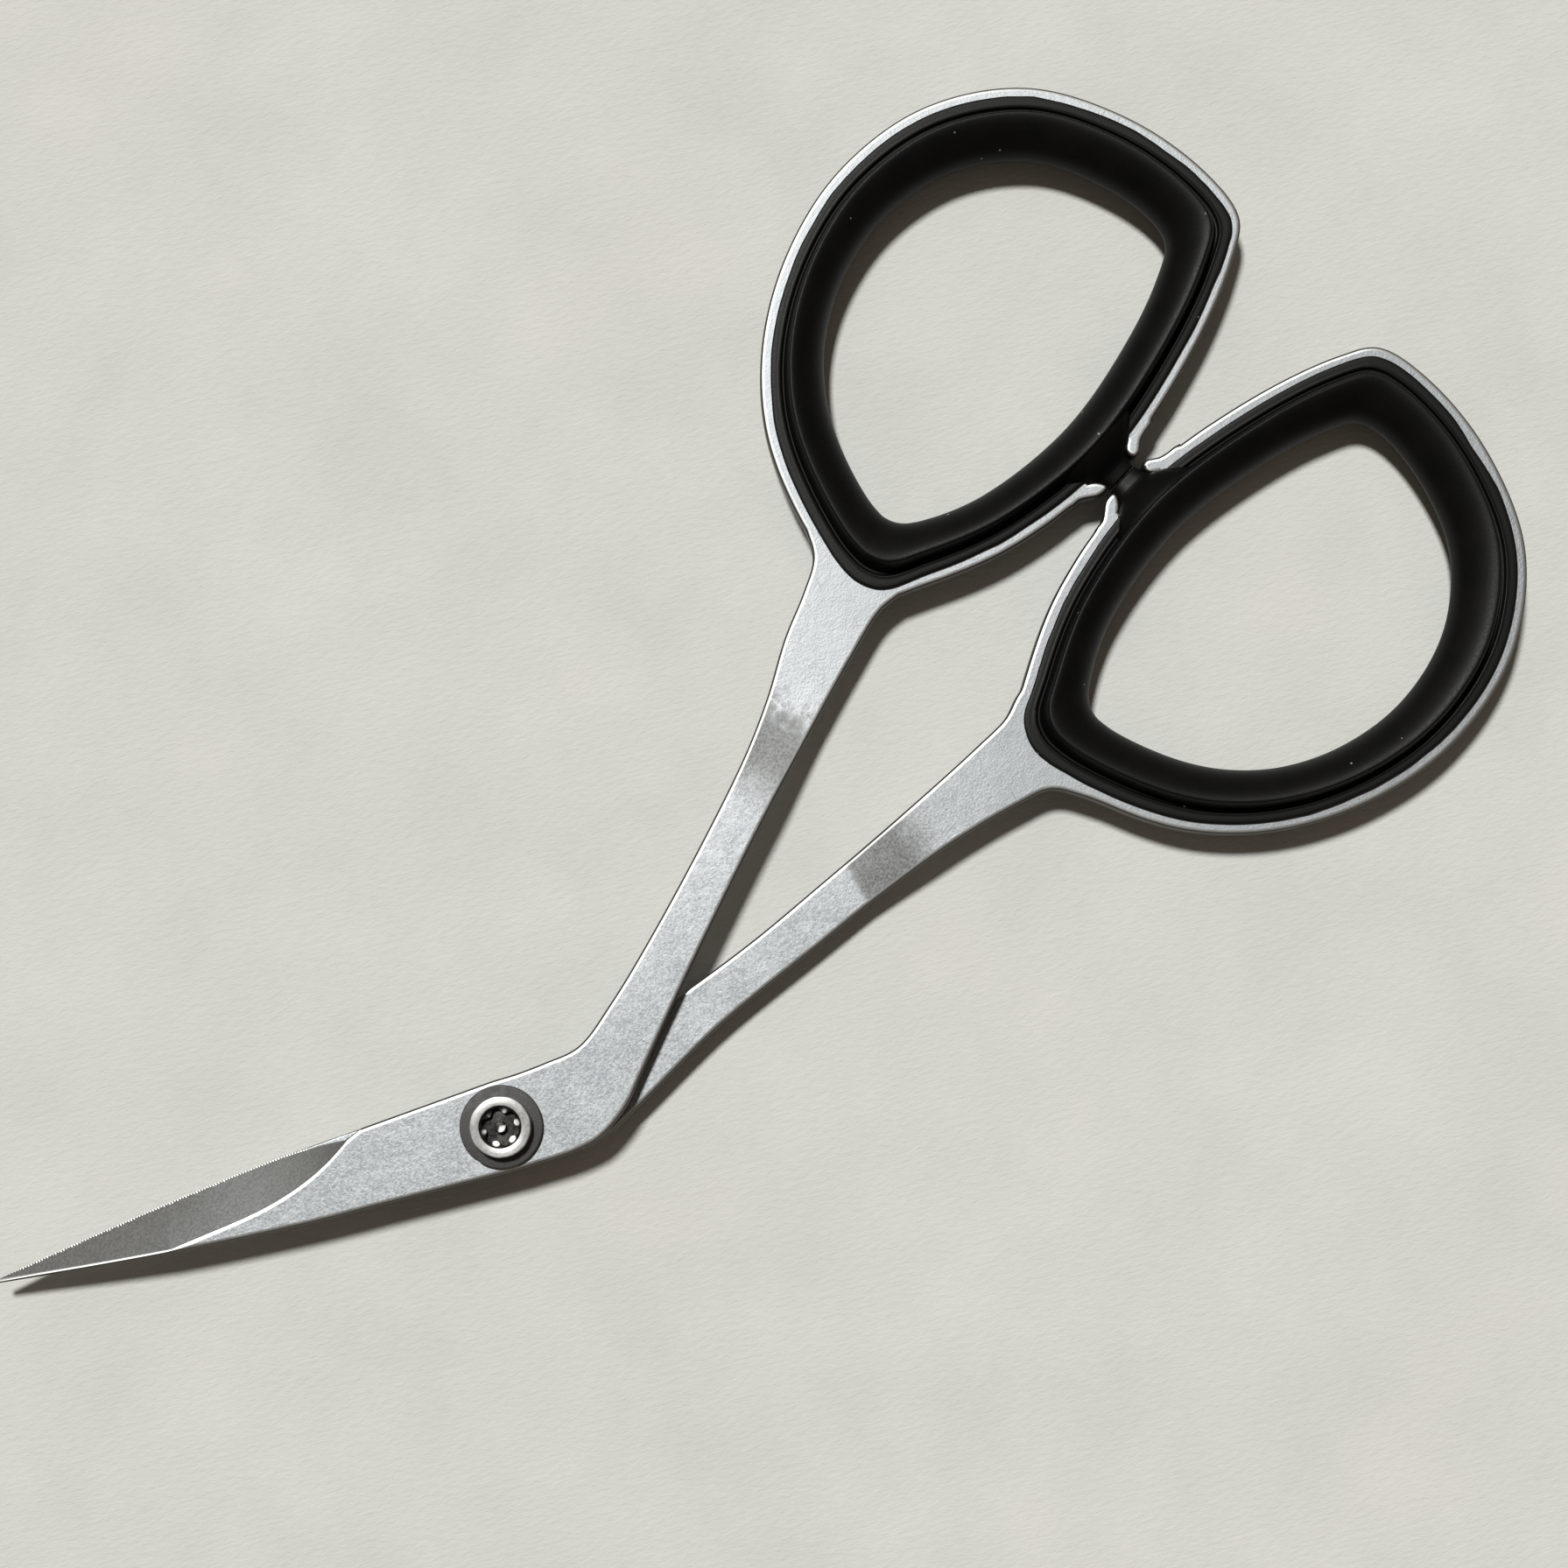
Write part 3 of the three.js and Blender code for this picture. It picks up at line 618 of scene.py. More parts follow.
def leaf_lines(plan, bore, joggle, side):
    """Every line as a row of points and whether each point is joined to the next."""
    lines = [(plan, np.ones(len(plan), bool)), (bore, np.ones(len(bore), bool))]
    for depth in ROUND_ROWS:
        row, clear = inset(plan, depth)
        keep = np.flatnonzero(clear)
        lines.append((row[keep], np.diff(np.append(keep, keep[0] + len(row))) == 1))
    b = HEEL + (BLADE_LENGTH - HEEL) * np.linspace(0, 1, BEVEL_LINES) ** BEVEL_CROWDING
    b = np.concatenate([np.linspace(HEEL - HEEL_SLOPE, HEEL, HEEL_LINES)[:-1], b])
    boundary = from_blade(b, cutting_edge(b) - bevel_width(b), side)
    inwards = left_of(np.gradient(boundary, axis=0))
    open_line = np.append(np.ones(len(b) - 1, bool), False)
    lines += [(boundary + offset * inwards, open_line) for offset in BEVEL_ROWS]
    lines.append((from_blade(b, cutting_edge(b) - FACET_WIDTH, side), open_line))
    near = from_blade(b, cutting_edge(b) + BLADE_OVERLAP[0], side)
    far = from_blade(b, cutting_edge(b) - bevel_width(b) - BLADE_OVERLAP[1], side)
    lines += [segment(*pair) for pair in zip(near, far)]
    sideways = left_of(joggle["way"][None])[0]
    middle = plan[np.argmin(abs(plan @ joggle["way"] - joggle["start"]) + abs(plan[:, 1]))]
    for place, reach in zip((0, joggle["run"]), bends(side)):
        for share in BEND_LINES:
            at = joggle["way"] * (joggle["start"] + place + share * reach)
            at = at + sideways * (middle @ sideways)
            lines.append(segment(at - sideways * ACROSS_STEM, at + sideways * ACROSS_STEM))
    return lines


# %% Filling the plan, and lifting it into a solid
def fill(lines, loops):
    points, edges = [], []
    for row, joined in lines:
        first = len(points)
        points.extend(Vector(p) for p in row)
        edges.extend((first + i, first + (i + 1) % len(row)) for i in np.flatnonzero(joined))
    plan, _, triangles, *_ = geometry.delaunay_2d_cdt(points, edges, [], 0, SAME_CORNER)
    plan, triangles = np.array(plan), np.array(triangles)
    return plan, triangles[inside(plan[triangles].mean(1), loops)]


def leaf_mesh(name, side):
    plan, bore = outlines[name]
    joggle = joggles[name]
    points, triangles = fill(leaf_lines(plan, bore, joggle, side), (plan, bore))
    used = np.unique(triangles)
    points = points[used]
    triangles = np.searchsorted(used, triangles)
    b, across = to_blade(points, side)
    starts, ends = plan, np.roll(plan, -1, 0)
    middle_b, middle_across = to_blade((starts + ends) / 2, side)
    sharp = abs(middle_across - cutting_edge(middle_b)) < SHARP_NEAR
    sharp &= middle_b > HEEL - HEEL_SLOPE
    gap = distance(points, starts[~sharp], ends[~sharp])
    ground = ground_height(b, across)
    thick = soft_least(np.full(len(points), SHEET), ground, BEVEL_BLEND)
    thin = np.minimum(1, thick / THIN)
    level = inner_face(points, joggle, side)
    lapped = np.interp(b, LAPPED_REACH, (1, INNER_ROUND))
    near = level + side * rounding(gap, lapped * thin)
    far = level + side * (thick - rounding(gap, thin))
    top, bottom = (far, near)[::side]
    count = len(points)
    corners = np.vstack([np.column_stack([points, top]), np.column_stack([points, bottom])])
    sides = {(a, b) for t in triangles for a, b in zip(t, np.roll(t, -1))}
    rim = sorted((a, b) for a, b in sides if (b, a) not in sides)
    faces = [tuple(t) for t in triangles] + [tuple(t[::-1] + count) for t in triangles]
    faces += [(b, a, a + count, b + count) for a, b in rim]
    mesh = mesh_of(name + "_plate", corners, faces=[tuple(map(int, face)) for face in faces])
    boundary = np.clip(BOUNDARY_END - abs(ground - SHEET) / BEVEL_BLEND, 0, 1)
    boundary *= b > HEEL - HEEL_SLOPE
    slanted = np.clip((SHEET - ground) / SLANTED, 0, 1)
    rounded = []
    for size, edge in ((1, boundary), (lapped, 0 * boundary))[::side]:
        band = np.maximum(np.clip(EDGE_FADE * (EDGE_END - gap / (size * EDGE_ROUND)), 0, 1), edge)
        # values over 1 mark the rim next to the side, which is painted dark for the dark line that
        # the dim room reflects there
        rounded.append(band + np.clip(PAINTED_DARK_RIM_FADE * (1 - gap / (size * PAINTED_DARK_RIM_WIDTH)), 0, 1))
    keep_number(mesh, "rounded", np.concatenate(rounded))
    keep_number(mesh, "ground", np.concatenate([slanted, 0 * slanted][::side]))
    keep_number(mesh, "past_bend", np.tile(from_crisp_bend(points, joggle, side), 2))
    return mesh


# %% Numbers kept on a mesh, and a finished piece
def keep_number(mesh, name, values):
    mesh.attributes.new(name, "FLOAT", "POINT").data.foreach_set("value", values.astype(np.float32))


BODY_OF = {
    name: body for body, names in frame["record"]["behaviour"]["bodies"].items() for name in names
}


def show(name, mesh, slot, node, replaces=True, sharp_over=35):
    """An object for a finished mesh, on the body of the node that it belongs to or replaces."""
    mesh.materials.clear()
    mesh.materials.append(finishes[slot])
    mesh.shade_smooth()
    mesh.set_sharp_from_angle(angle=math.radians(sharp_over))
    mesh.validate()
    piece = put_in_scene(name, mesh)
    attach(piece, BODY_OF[node])
    if replaces:
        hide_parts(node)
    sizes = [round(v / MM, 2) for v in piece.dimensions]
    print(name, len(mesh.polygons), "faces,", sizes, "mm")


# %% [markdown]
# ## Steel, blasted, ground and tumbled
# The leaves are blasted with fine beads, which leaves thousands of tiny dents: they spread the
# lamp's light, and the steel turns pale and speckled. The ground faces are smoother, so the same
# light misses the eye and they look darker. Tumbling polishes the rounded edges, which catch it.
# Where the press bent the sheet its skin is roughened. The sheared sides are duller, and they and
# the outer edge of the rounding are painted dark, a painted reflection of the dim room. One
# material does it all, and the numbers kept on the mesh say where each part of it begins.

# %% Blasted steel
BLASTED_TONES = (0.220, 0.234, 0.247), (0.408, 0.425, 0.442)
BLASTED_ROUGHNESS, SPECKLE_ROUGHNESS = 0.50, 0.03  # and what the speckle adds or takes off
STEM_REACH_X, STEM_REACH_Y, STEM_PALER = (0.0, 8.0), (-1.0, 3.0), 0.17  # mm, up the upper stem
RING_REACH, RING_SHARE = (33.0, 41.0), 0.65  # mm along X, past which the steel is darker, and how much of the ring's tone it takes
RING_TONE = (0.272, 0.285, 0.293)
BENT_TONES = (0.177, 0.184, 0.187), (0.43, 0.44, 0.444)
BENT_ROUGHNESS = 0.72
BENT_BORDER, BENT_WANDER = (-0.13, 0.11), 0.15  # mm past the bend, and mm that this wanders
BENT_FADE = (3.6, 6.6)  # mm past the bend, over which the rough skin fades out
SCRATCH_TURN, SCRATCH_TONE = 70, (0.14, 0.14, 0.14)  # degrees from X, for its few scratches
GROUND_TONES = (0.37, 0.385, 0.39), (0.43, 0.445, 0.447)
GROUND_ROUGHNESS, HEEL_ROUGHNESS = 0.275, 0.35  # at the tip, and where the wheel left the heel
HEEL_REACH = (-18.0, -9.5)  # mm along X between the two
EDGE_TONE, EDGE_ROUGHNESS = (0.66, 0.67, 0.66), 0.40
# the sheared sides and the rim next to them are painted dark, standing in for the dim room that
# they reflect; their roughness is their own
SHEARED_PAINTED_DARK_TONE, SHEARED_ROUGHNESS = (0.12, 0.115, 0.108), 0.5
PAINTED_DARK_FROM = (1.1, 1.6)  # of the rounding number, where the polish ends and the painted dark rim and side start
DENT_RELIEF, SPECKLE_RELIEF = 0.015, 0.013  # mm
POLISH = 0.85  # share of that relief that grinding and tumbling take off

n, into = finish("blasted_steel", {"Metallic": 1.0})
where = place(n)
at = n.split(where)
ground, rounded = number(n, "ground"), number(n, "rounded")
dents, speckle = noise(n, where, 1.3, 3, 0.6), noise(n, where, 5.8, 3, 0.7)
cloud = noise(n, where, 0.35, 3)
scratch = n.spread(noise(n, place(n, (3.0, 0.09, 1), SCRATCH_TURN), 1.0, 1), 0.72, 0.77, 0.0, 0.6)
streak = noise(n, place(n, (1.6, 0.4, 1), 180 - BEND_ANGLE), 2.0, 2)

past = number(n, "past_bend")
for pattern in (dents, speckle):
    past = n.sum(past, n.spread(pattern, 0.3, 0.7, -BENT_WANDER, BENT_WANDER))
bent = n.product(n.spread(past, *BENT_BORDER), n.spread(past, *BENT_FADE, 1.0, 0.0))
pale = n.sum(n.product(speckle, 0.8), n.product(cloud, 0.2))
stem = n.product(n.spread(at["X"], *STEM_REACH_X), n.spread(at["Y"], *STEM_REACH_Y))
pale = n.sum(n.spread(pale, 0.37, 0.63), n.product(stem, STEM_PALER))
ring = n.spread(at["X"], *RING_REACH, 0.0, RING_SHARE)
# where the rim and the side are painted dark
sheared_painted_dark = n.spread(rounded, *PAINTED_DARK_FROM)
colour = n.colour(ring, n.colour(pale, *BLASTED_TONES), RING_TONE)
for share, tone in (
    (bent, n.colour(pale, *BENT_TONES)), (scratch, SCRATCH_TONE),
    (ground, n.colour(streak, *GROUND_TONES)), (rounded, EDGE_TONE), (sheared_painted_dark, SHEARED_PAINTED_DARK_TONE),
):
    colour = n.colour(share, colour, tone)
n.put(into["Base Color"], colour)

rough = n.spread(bent, 0.0, 1.0, BLASTED_ROUGHNESS, BENT_ROUGHNESS)
stone = n.spread(at["X"], *HEEL_REACH, GROUND_ROUGHNESS, HEEL_ROUGHNESS)
for share, other in ((ground, stone), (rounded, EDGE_ROUGHNESS), (sheared_painted_dark, SHEARED_ROUGHNESS)):
    rough = n.spread(share, 0.0, 1.0, rough, other)
uneven = n.spread(speckle, 0.3, 0.7, -SPECKLE_ROUGHNESS, SPECKLE_ROUGHNESS)
n.put(into["Roughness"], n.sum(rough, uneven))
fade = n.math("SUBTRACT", 1.0, n.product(n.math("MAXIMUM", ground, rounded), POLISH))
grain = bump(n, n.product(dents, fade), DENT_RELIEF)
n.put(into["Normal"], bump(n, n.product(speckle, fade), SPECKLE_RELIEF, Normal=grain))
print("blasted steel:", len(n.tree.nodes), "nodes")

# %% Both leaves
for name, side in LEAVES.items():
    show(name + "_plate", leaf_mesh(name, side), "blasted_steel", name)

# %% [markdown]
# ## Teeth
# The upper edge carries a fine serration that holds the thread: about a hundred teeth, each a
# fifth of a millimetre wide. They repeat along a path, so Geometry Nodes set one small tooth
# along the line of the edge. A seed makes each a little bigger or smaller.

# %% A node group, and a plain mesh out of it
def shape_group(name, sizes):
    """An empty geometry tree with one input for each size."""
    tree = bpy.data.node_groups.new(name, "GeometryNodeTree")
    for label, kind in {"Geometry": "Geometry", **sizes}.items():
        tree.interface.new_socket(label, in_out="INPUT", socket_type="NodeSocket" + kind)
    tree.interface.new_socket("Geometry", in_out="OUTPUT", socket_type="NodeSocketGeometry")
    nodes = Nodes(tree)
    return tree, nodes, nodes.add("NodeGroupInput").outputs


def close_group(nodes, shape, slot):
    real = nodes.add("GeometryNodeRealizeInstances", {0: shape})
    given = {"Geometry": real.outputs[0], "Material": finishes[slot]}
    nodes.add("NodeGroupOutput", {0: nodes.add("GeometryNodeSetMaterial", given).outputs[0]})


def run_group(tree, start, values):
    """The plain mesh that a tree makes from a starting mesh and the values of its inputs."""
    holder = put_in_scene(tree.name, start)
    modifier = holder.modifiers.new(tree.name, "NODES")
    modifier.node_group = tree
    for item in tree.interface.items_tree:
        if item.in_out == "INPUT" and item.name in values:
            modifier[item.identifier] = values[item.name]
    view = bpy.context.evaluated_depsgraph_get()
    made = bpy.data.meshes.new_from_object(holder.evaluated_get(view), depsgraph=view)
    bpy.data.objects.remove(holder)
    return made


def line_mesh(name, points, closed=False):
    count = len(points)
    edges = [(i, (i + 1) % count) for i in range(count if closed else count - 1)]
    return mesh_of(name, points, edges)


def hidden(mesh):
    """An object that only the node trees read."""
    return bpy.data.objects.new(mesh.name, mesh)


def outwards(mesh):
    shape = bmesh.new()
    shape.from_mesh(mesh)
    return plain(mesh.name, shape)


# %% One tooth
TOOTH_PITCH = 0.19  # mm
TOOTH_REACH, TOOTH_BACK = 0.08, 0.06  # mm out from the line that it is set on, and back from it
TOOTH_ROWS = [  # place across the edge in mm, and half widths of foot and top in pitches
    (-TOOTH_BACK, 0.30, 0.05), (0, 0.42, 0.16), (TOOTH_REACH, 0.2, 0.06),
]
TOOTH_SLOPE = 0.29  # of its top, which is a little flatter than the ground face
TOOTH_DEPTH = 0.05
TOOTH_LOW = 0.006  # mm of its underside over the leaf's inner face
TOOTH_FLANK = 0.02  # mm under the ground face at which its flanks start
TOOTH_LEAST_FLANK = 0.03  # mm over the leaf's inner face, where that would be lower


def tooth_mesh():
    """A ridge across the edge: wide at its foot, narrow on top and at its outer end."""
    corners = []
    base = EDGE_THICKNESS + BEVEL_SLOPE * TOOTH_DEPTH
    for y, foot, top in TOOTH_ROWS:
        flank = max(TOOTH_LEAST_FLANK, base - BEVEL_SLOPE * y - TOOTH_FLANK)
        crown = base + BEVEL_SLOPE * TOOTH_BACK - TOOTH_SLOPE * (y + TOOTH_BACK)
        half = [(foot, TOOTH_LOW), (foot, flank), (top, crown)]
        outline = [(-x, z) for x, z in half] + half[::-1]
        corners += [(x * TOOTH_PITCH, y, z) for x, z in outline]
    count = len(corners) // 3
    faces = [tuple(range(count)), tuple(range(3 * count - 1, 2 * count - 1, -1))]
    for row in (0, count):
        for i in range(count):
            j = (i + 1) % count
            faces.append((row + i, row + count + i, row + count + j, row + j))
    return mesh_of("tooth", corners, faces=faces)


print("one tooth:", len(tooth_mesh().polygons), "faces")

# %% The row of teeth
TOOTH_FADE, TOOTH_LEAST = 2.0, 0.35  # mm at the tip over which they get smaller, and how small
TOOTH_SIZES, TOOTH_SEED = (0.78, 1.08), 7
TOOTH_ENDS = (0.25, 0.1)  # mm that the row stops short of the tip, and of where it starts
ON_EDGE = 120  # corners of the line that they are set on
FAR_AWAY = 100  # mm past the bend, where no skin is roughened


def tooth_group(slot):
    tree, n, given = shape_group("teeth_along_edge", {
        "Tooth": "Object", "Pitch": "Float", "Fade": "Float", "Least size": "Float",
        "Largest size": "Float", "Seed": "Int",
    })
    curve = n.add("GeometryNodeMeshToCurve", {"Mesh": given["Geometry"]})
    spaced = {"Curve": curve.outputs[0], "Length": given["Pitch"]}
    spaced = n.add("GeometryNodeResampleCurve", spaced, mode="LENGTH")
    tangent = n.add("GeometryNodeInputTangent").outputs[0]
    turned = n.add("FunctionNodeAlignEulerToVector", {"Vector": tangent}, axis="X", pivot_axis="Z")
    chance = n.add("FunctionNodeRandomValue", {"Seed": given["Seed"]}, data_type="FLOAT")
    least, largest = [s for s in chance.inputs if s.enabled][:2]
    n.put(least, given["Least size"])
    n.put(largest, given["Largest size"])
    along = n.add("GeometryNodeSplineParameter").outputs["Length"]
    share = n.spread(n.math("DIVIDE", along, given["Fade"]), 0.0, 1.0, TOOTH_LEAST, 1.0)
    tooth = n.add("GeometryNodeObjectInfo", {"Object": given["Tooth"]})
    placed = n.add("GeometryNodeInstanceOnPoints", {
        "Points": spaced.outputs[0], "Instance": tooth.outputs["Geometry"],
        "Rotation": turned.outputs[0],
        "Scale": n.product(share, [s for s in chance.outputs if s.enabled][0]),
    })
    close_group(n, placed.outputs[0], slot)
    return tree


b = np.linspace(BLADE_LENGTH - TOOTH_ENDS[0], TOOTH_START + TOOTH_ENDS[1], ON_EDGE)
edge = from_blade(b, cutting_edge(b) - TOOTH_DEPTH, 1)
edge = np.column_stack([edge, np.full(len(b), joggles["upper_leaf"]["hub"])])
teeth = run_group(tooth_group("blasted_steel"), line_mesh("edge_line", edge), {
    "Tooth": hidden(tooth_mesh()), "Pitch": TOOTH_PITCH * MM, "Fade": TOOTH_FADE * MM,
    "Least size": TOOTH_SIZES[0], "Largest size": TOOTH_SIZES[1], "Seed": TOOTH_SEED,
})
for label, value in (("ground", 1), ("rounded", 1), ("past_bend", FAR_AWAY)):
    keep_number(teeth, label, np.full(len(teeth.vertices), value))
teeth = outwards(teeth)
show("upper_leaf_teeth", teeth, "blasted_steel", "upper_leaf", replaces=False, sharp_over=20)

# %% [markdown]
# ## Grips
# A grip is moulded rubber, and the same section runs all the way round: a thin lip on the
# metal, a groove, a shoulder, and a soft tube that the finger touches. Only the width changes.
# So the section is drawn once, and Geometry Nodes lay it between two closed lines that are read
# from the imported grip: the outer edge of the rubber and the edge of the opening.

# %% The two lines of a grip
MIDDLE = (joggles["upper_leaf"]["ring"] + joggles["lower_leaf"]["ring"]) / 2  # height, mm
LIP_HEIGHT = 1.03  # over the middle, where the rubber's outer edge is highest
ROUND_STEPS = 6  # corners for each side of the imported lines
LEVEL_NEAR = 0.004  # mm


def loop_at(mesh, height):
    """The closed row of corners of a welded mesh at one height, in order."""
    on_line = {v for v in mesh.verts if abs(v.co.z / MM - height) < LEVEL_NEAR}
    beside = {v: [e.other_vert(v) for e in v.link_edges] for v in on_line}
    return turning_left(walk({v: [w for w in near if w in on_line] for v, near in beside.items()}))


def spaced(loop, steps):
    """The same number of corners on every side, on a curve through the given ones."""
    after = np.roll(loop, -1, 0)
    way = (after - np.roll(loop, 1, 0)) / 2
    rows = [cubic(t, loop, after, way, np.roll(way, -1, 0)) for t in np.arange(steps) / steps]
    return np.stack(rows, 1).reshape(-1, 2)


def grip_lines(name):
    mesh = welded(name)
    edge, opening = loop_at(mesh, MIDDLE + LIP_HEIGHT), loop_at(mesh, MIDDLE)
    mesh.free()
    shifts = [np.sum((edge - np.roll(opening, -i, 0)) ** 2) for i in range(len(opening))]
    opening = np.roll(opening, -int(np.argmin(shifts)), 0)
    return spaced(edge, ROUND_STEPS), spaced(opening, ROUND_STEPS)


grips = {name: grip_lines(name) for name in ("upper_grip", "lower_grip")}
for name, (edge, opening) in grips.items():
    widths = np.linalg.norm(edge - opening, axis=1)
    narrow, wide = round(widths.min(), 2), round(widths.max(), 2)
    print(name, len(edge), "stations,", narrow, "to", wide, "mm wide")

# %% The section, from the outer edge of the rubber to the opening
HALF_SECTION = [  # share of the width, and mm over the middle
    (0.0, 0.0), (0.0, 0.86), (0.004, 0.97), (0.02, 1.03), (0.08, 1.05), (0.15, 1.05), (0.17, 1.085),
    (0.19, 1.05), (0.205, 0.9), (0.23, 0.84), (0.255, 0.9), (0.275, 1.2), (0.29, 1.6),
    (0.305, 1.95), (0.325, 2.25), (0.345, 2.4), (0.37, 2.45), (0.42, 2.43), (0.5, 2.33),
    (0.6, 2.13), (0.7, 1.87), (0.8, 1.54), (0.9, 1.1), (0.97, 0.56), (1.0, 0.0),
]
SECTION_STEPS = 2

upper = np.array(HALF_SECTION)
under = upper[-2:0:-1] * (1, -1)
section = spaced(np.vstack([upper, under]), SECTION_STEPS)
print("section:", len(section), "corners")

# %% The tree that lays the section round the ring
FLASH = 0.5  # mm that the thin outer edge of the rubber may wander
FLASH_PER_MM = 0.28
FLASH_SPELLS, SPELL_STARTS = 0.07, (0.5, 0.62)  # per mm, how often it wanders at all
FLASH_LEAST = 0.12  # share of the wander that is always left
FLASH_MIDDLE = 0.45  # of the noise, where it doesn't move
LIP_SHARE = 0.1  # of the width, over which the wander fades out


def grip_group(slot):
    tree, n, given = shape_group("moulded_round_ring", {
        "Edge": "Object", "Opening": "Object", "Section": "Object", "Stations": "Int",
        "Corners": "Int", "Height": "Float", "Flash": "Float",
    })
    grid = n.add("GeometryNodeMeshGrid", {
        "Size X": 1.0, "Size Y": 1.0, "Vertices X": n.sum(given["Stations"], 1),
        "Vertices Y": n.sum(given["Corners"], 1),
    })
    position = n.add("GeometryNodeInputPosition").outputs[0]
    where = n.split(position)

    def step(axis, count):
        along = n.product(n.sum(where[axis], 0.5), count)
        return n.math("FLOORED_MODULO", n.math("ROUND", along), count)

    def point_of(label, index):
        shape = n.add("GeometryNodeObjectInfo", {"Object": given[label]}).outputs["Geometry"]
        sampled = {"Geometry": shape, "Value": position, "Index": index}
        return n.add("GeometryNodeSampleIndex", sampled, data_type="FLOAT_VECTOR").outputs[0]

    station = step("X", given["Stations"])
    edge, opening = point_of("Edge", station), point_of("Opening", station)
    corner = n.split(point_of("Section", step("Y", given["Corners"])))
    share = n.product(corner["X"], 1 / MM)
    inwards = n.vector("SUBTRACT", opening, edge)
    on_edge = n.scaled(edge, 1 / MM)
    wander = n.math("SUBTRACT", noise(n, on_edge, FLASH_PER_MM, 2, 0.5), FLASH_MIDDLE)
    spell = n.spread(noise(n, on_edge, FLASH_SPELLS, 1), *SPELL_STARTS, FLASH_LEAST, 1.0)
    thin = n.spread(share, 0.0, LIP_SHARE, 1.0, 0.0)
    out = n.product(n.product(wander, spell), given["Flash"])
    level = n.joined(Z=n.sum(corner["Y"], given["Height"]))
    moved_to = n.vector("ADD", n.vector("ADD", edge, n.scaled(inwards, share)), level)
    wandered = n.scaled(n.vector("NORMALIZE", inwards), n.product(out, thin))
    kept = n.add("GeometryNodeStoreNamedAttribute", {
        "Geometry": grid.outputs["Mesh"], "Name": "inwards", "Value": share,
    }, data_type="FLOAT", domain="POINT")
    moved = n.add("GeometryNodeSetPosition", {
        "Geometry": kept.outputs[0], "Position": n.vector("ADD", moved_to, wandered),
    })
    given = {"Geometry": moved.outputs[0], "Distance": WELD * MM}
    close_group(n, n.add("GeometryNodeMergeByDistance", given).outputs[0], slot)
    return tree


# %% [markdown]
# ## Rubber
# Moulded rubber is nearly black, and only its gloss shows its shape: broad and soft, because
# the surface is finely matt. The lip on the metal is a thin skin with a little painted light on
# it, a greyer tone for the light that its flat top catches. A few grains of dust sit on it.

# %% Rubber
RUBBER_TONES = (0.0020, 0.0020, 0.0022), (0.0034, 0.0032, 0.0030)
LIP_PAINTED_LIGHT_TONE, LIP_FADE = (0.0042, 0.0045, 0.0042), (0.17, 0.22)  # shares of the width where it ends
DUST_TONE, DUST_PER_MM, DUST_SIZE = (0.35, 0.36, 0.36), 0.45, (0.025, 0.04)
RUBBER_ROUGHNESS, RUBBER_RELIEF = (0.42, 0.52), 0.006  # and mm

n, into = finish("soft_rubber", {"Specular IOR Level": 0.15})
where = place(n)
cloud = n.spread(noise(n, where, 0.5, 3), 0.35, 0.65)
# the lip is painted a little greyer, a painted highlight for the light that its flat top catches
lip_painted_light = n.spread(number(n, "inwards"), *LIP_FADE, 1.0, 0.0)
cells = n.add("ShaderNodeTexVoronoi", {"Vector": where, "Scale": DUST_PER_MM}, feature="F1")
dust = n.spread(cells.outputs["Distance"], *DUST_SIZE, 0.8, 0.0)
tone = n.colour(lip_painted_light, n.colour(cloud, *RUBBER_TONES), LIP_PAINTED_LIGHT_TONE)
n.put(into["Base Color"], n.colour(dust, tone, DUST_TONE))
fine_grain = noise(n, where, 9, 2)
n.put(into["Roughness"], n.spread(fine_grain, 0.3, 0.7, *RUBBER_ROUGHNESS))
n.put(into["Normal"], bump(n, fine_grain, RUBBER_RELIEF))
print("rubber:", len(n.tree.nodes), "nodes")

# %% Both grips
moulding = grip_group("soft_rubber")


def flat_line(name, points):
    """A hidden closed line at height 0."""
    return hidden(line_mesh(name, np.column_stack([points, np.zeros(len(points))]), True))


section_line = flat_line("section", section)
for name, (edge, opening) in grips.items():
    shape = run_group(moulding, bpy.data.meshes.new("start"), {
        "Edge": flat_line(name + "_edge", edge), "Opening": flat_line(name + "_opening", opening),
        "Section": section_line, "Stations": len(edge), "Corners": len(section),
        "Height": MIDDLE * MM, "Flash": FLASH * MM,
    })
    show(name + "_ring", outwards(shape), "soft_rubber", name)

# %% [markdown]
# ## Bumpers
# Where the metal ring is open, the rubber comes out through the gap, and the two grips meet and
# stop the closing. Each bumper is a web: broad and tall where it leaves the tube, drawn in on
# all sides, and flat at the end. It is a loft over rounded sections.

# %% The web between the rings
BUMPER_MIDDLE = 59.5  # along X
BUMPER_STATIONS = [  # distance from the middle line, half width, half height
    (0.06, 1.05, 0.62), (0.075, 1.14, 0.70), (0.12, 1.19, 0.74), (0.3, 1.22, 0.76),
    (0.5, 1.27, 0.78), (0.8, 1.40, 0.83), (1.05, 1.66, 0.98), (1.3, 2.04, 1.24),
    (1.6, 2.40, 1.55), (1.9, 2.75, 1.82), (2.2, 3.08, 2.05), (2.5, 3.42, 2.25), (2.84, 3.75, 2.40),
]
BUMPER_CORNERS, BUMPER_STEPS = 32, 4  # round it, and for each station along it
BUMPER_SQUARENESS = 2.7  # exponent of the section's rounded corners
BUMPER_INWARDS = 0.7  # share of the grip's width, which gives it the tube's tone


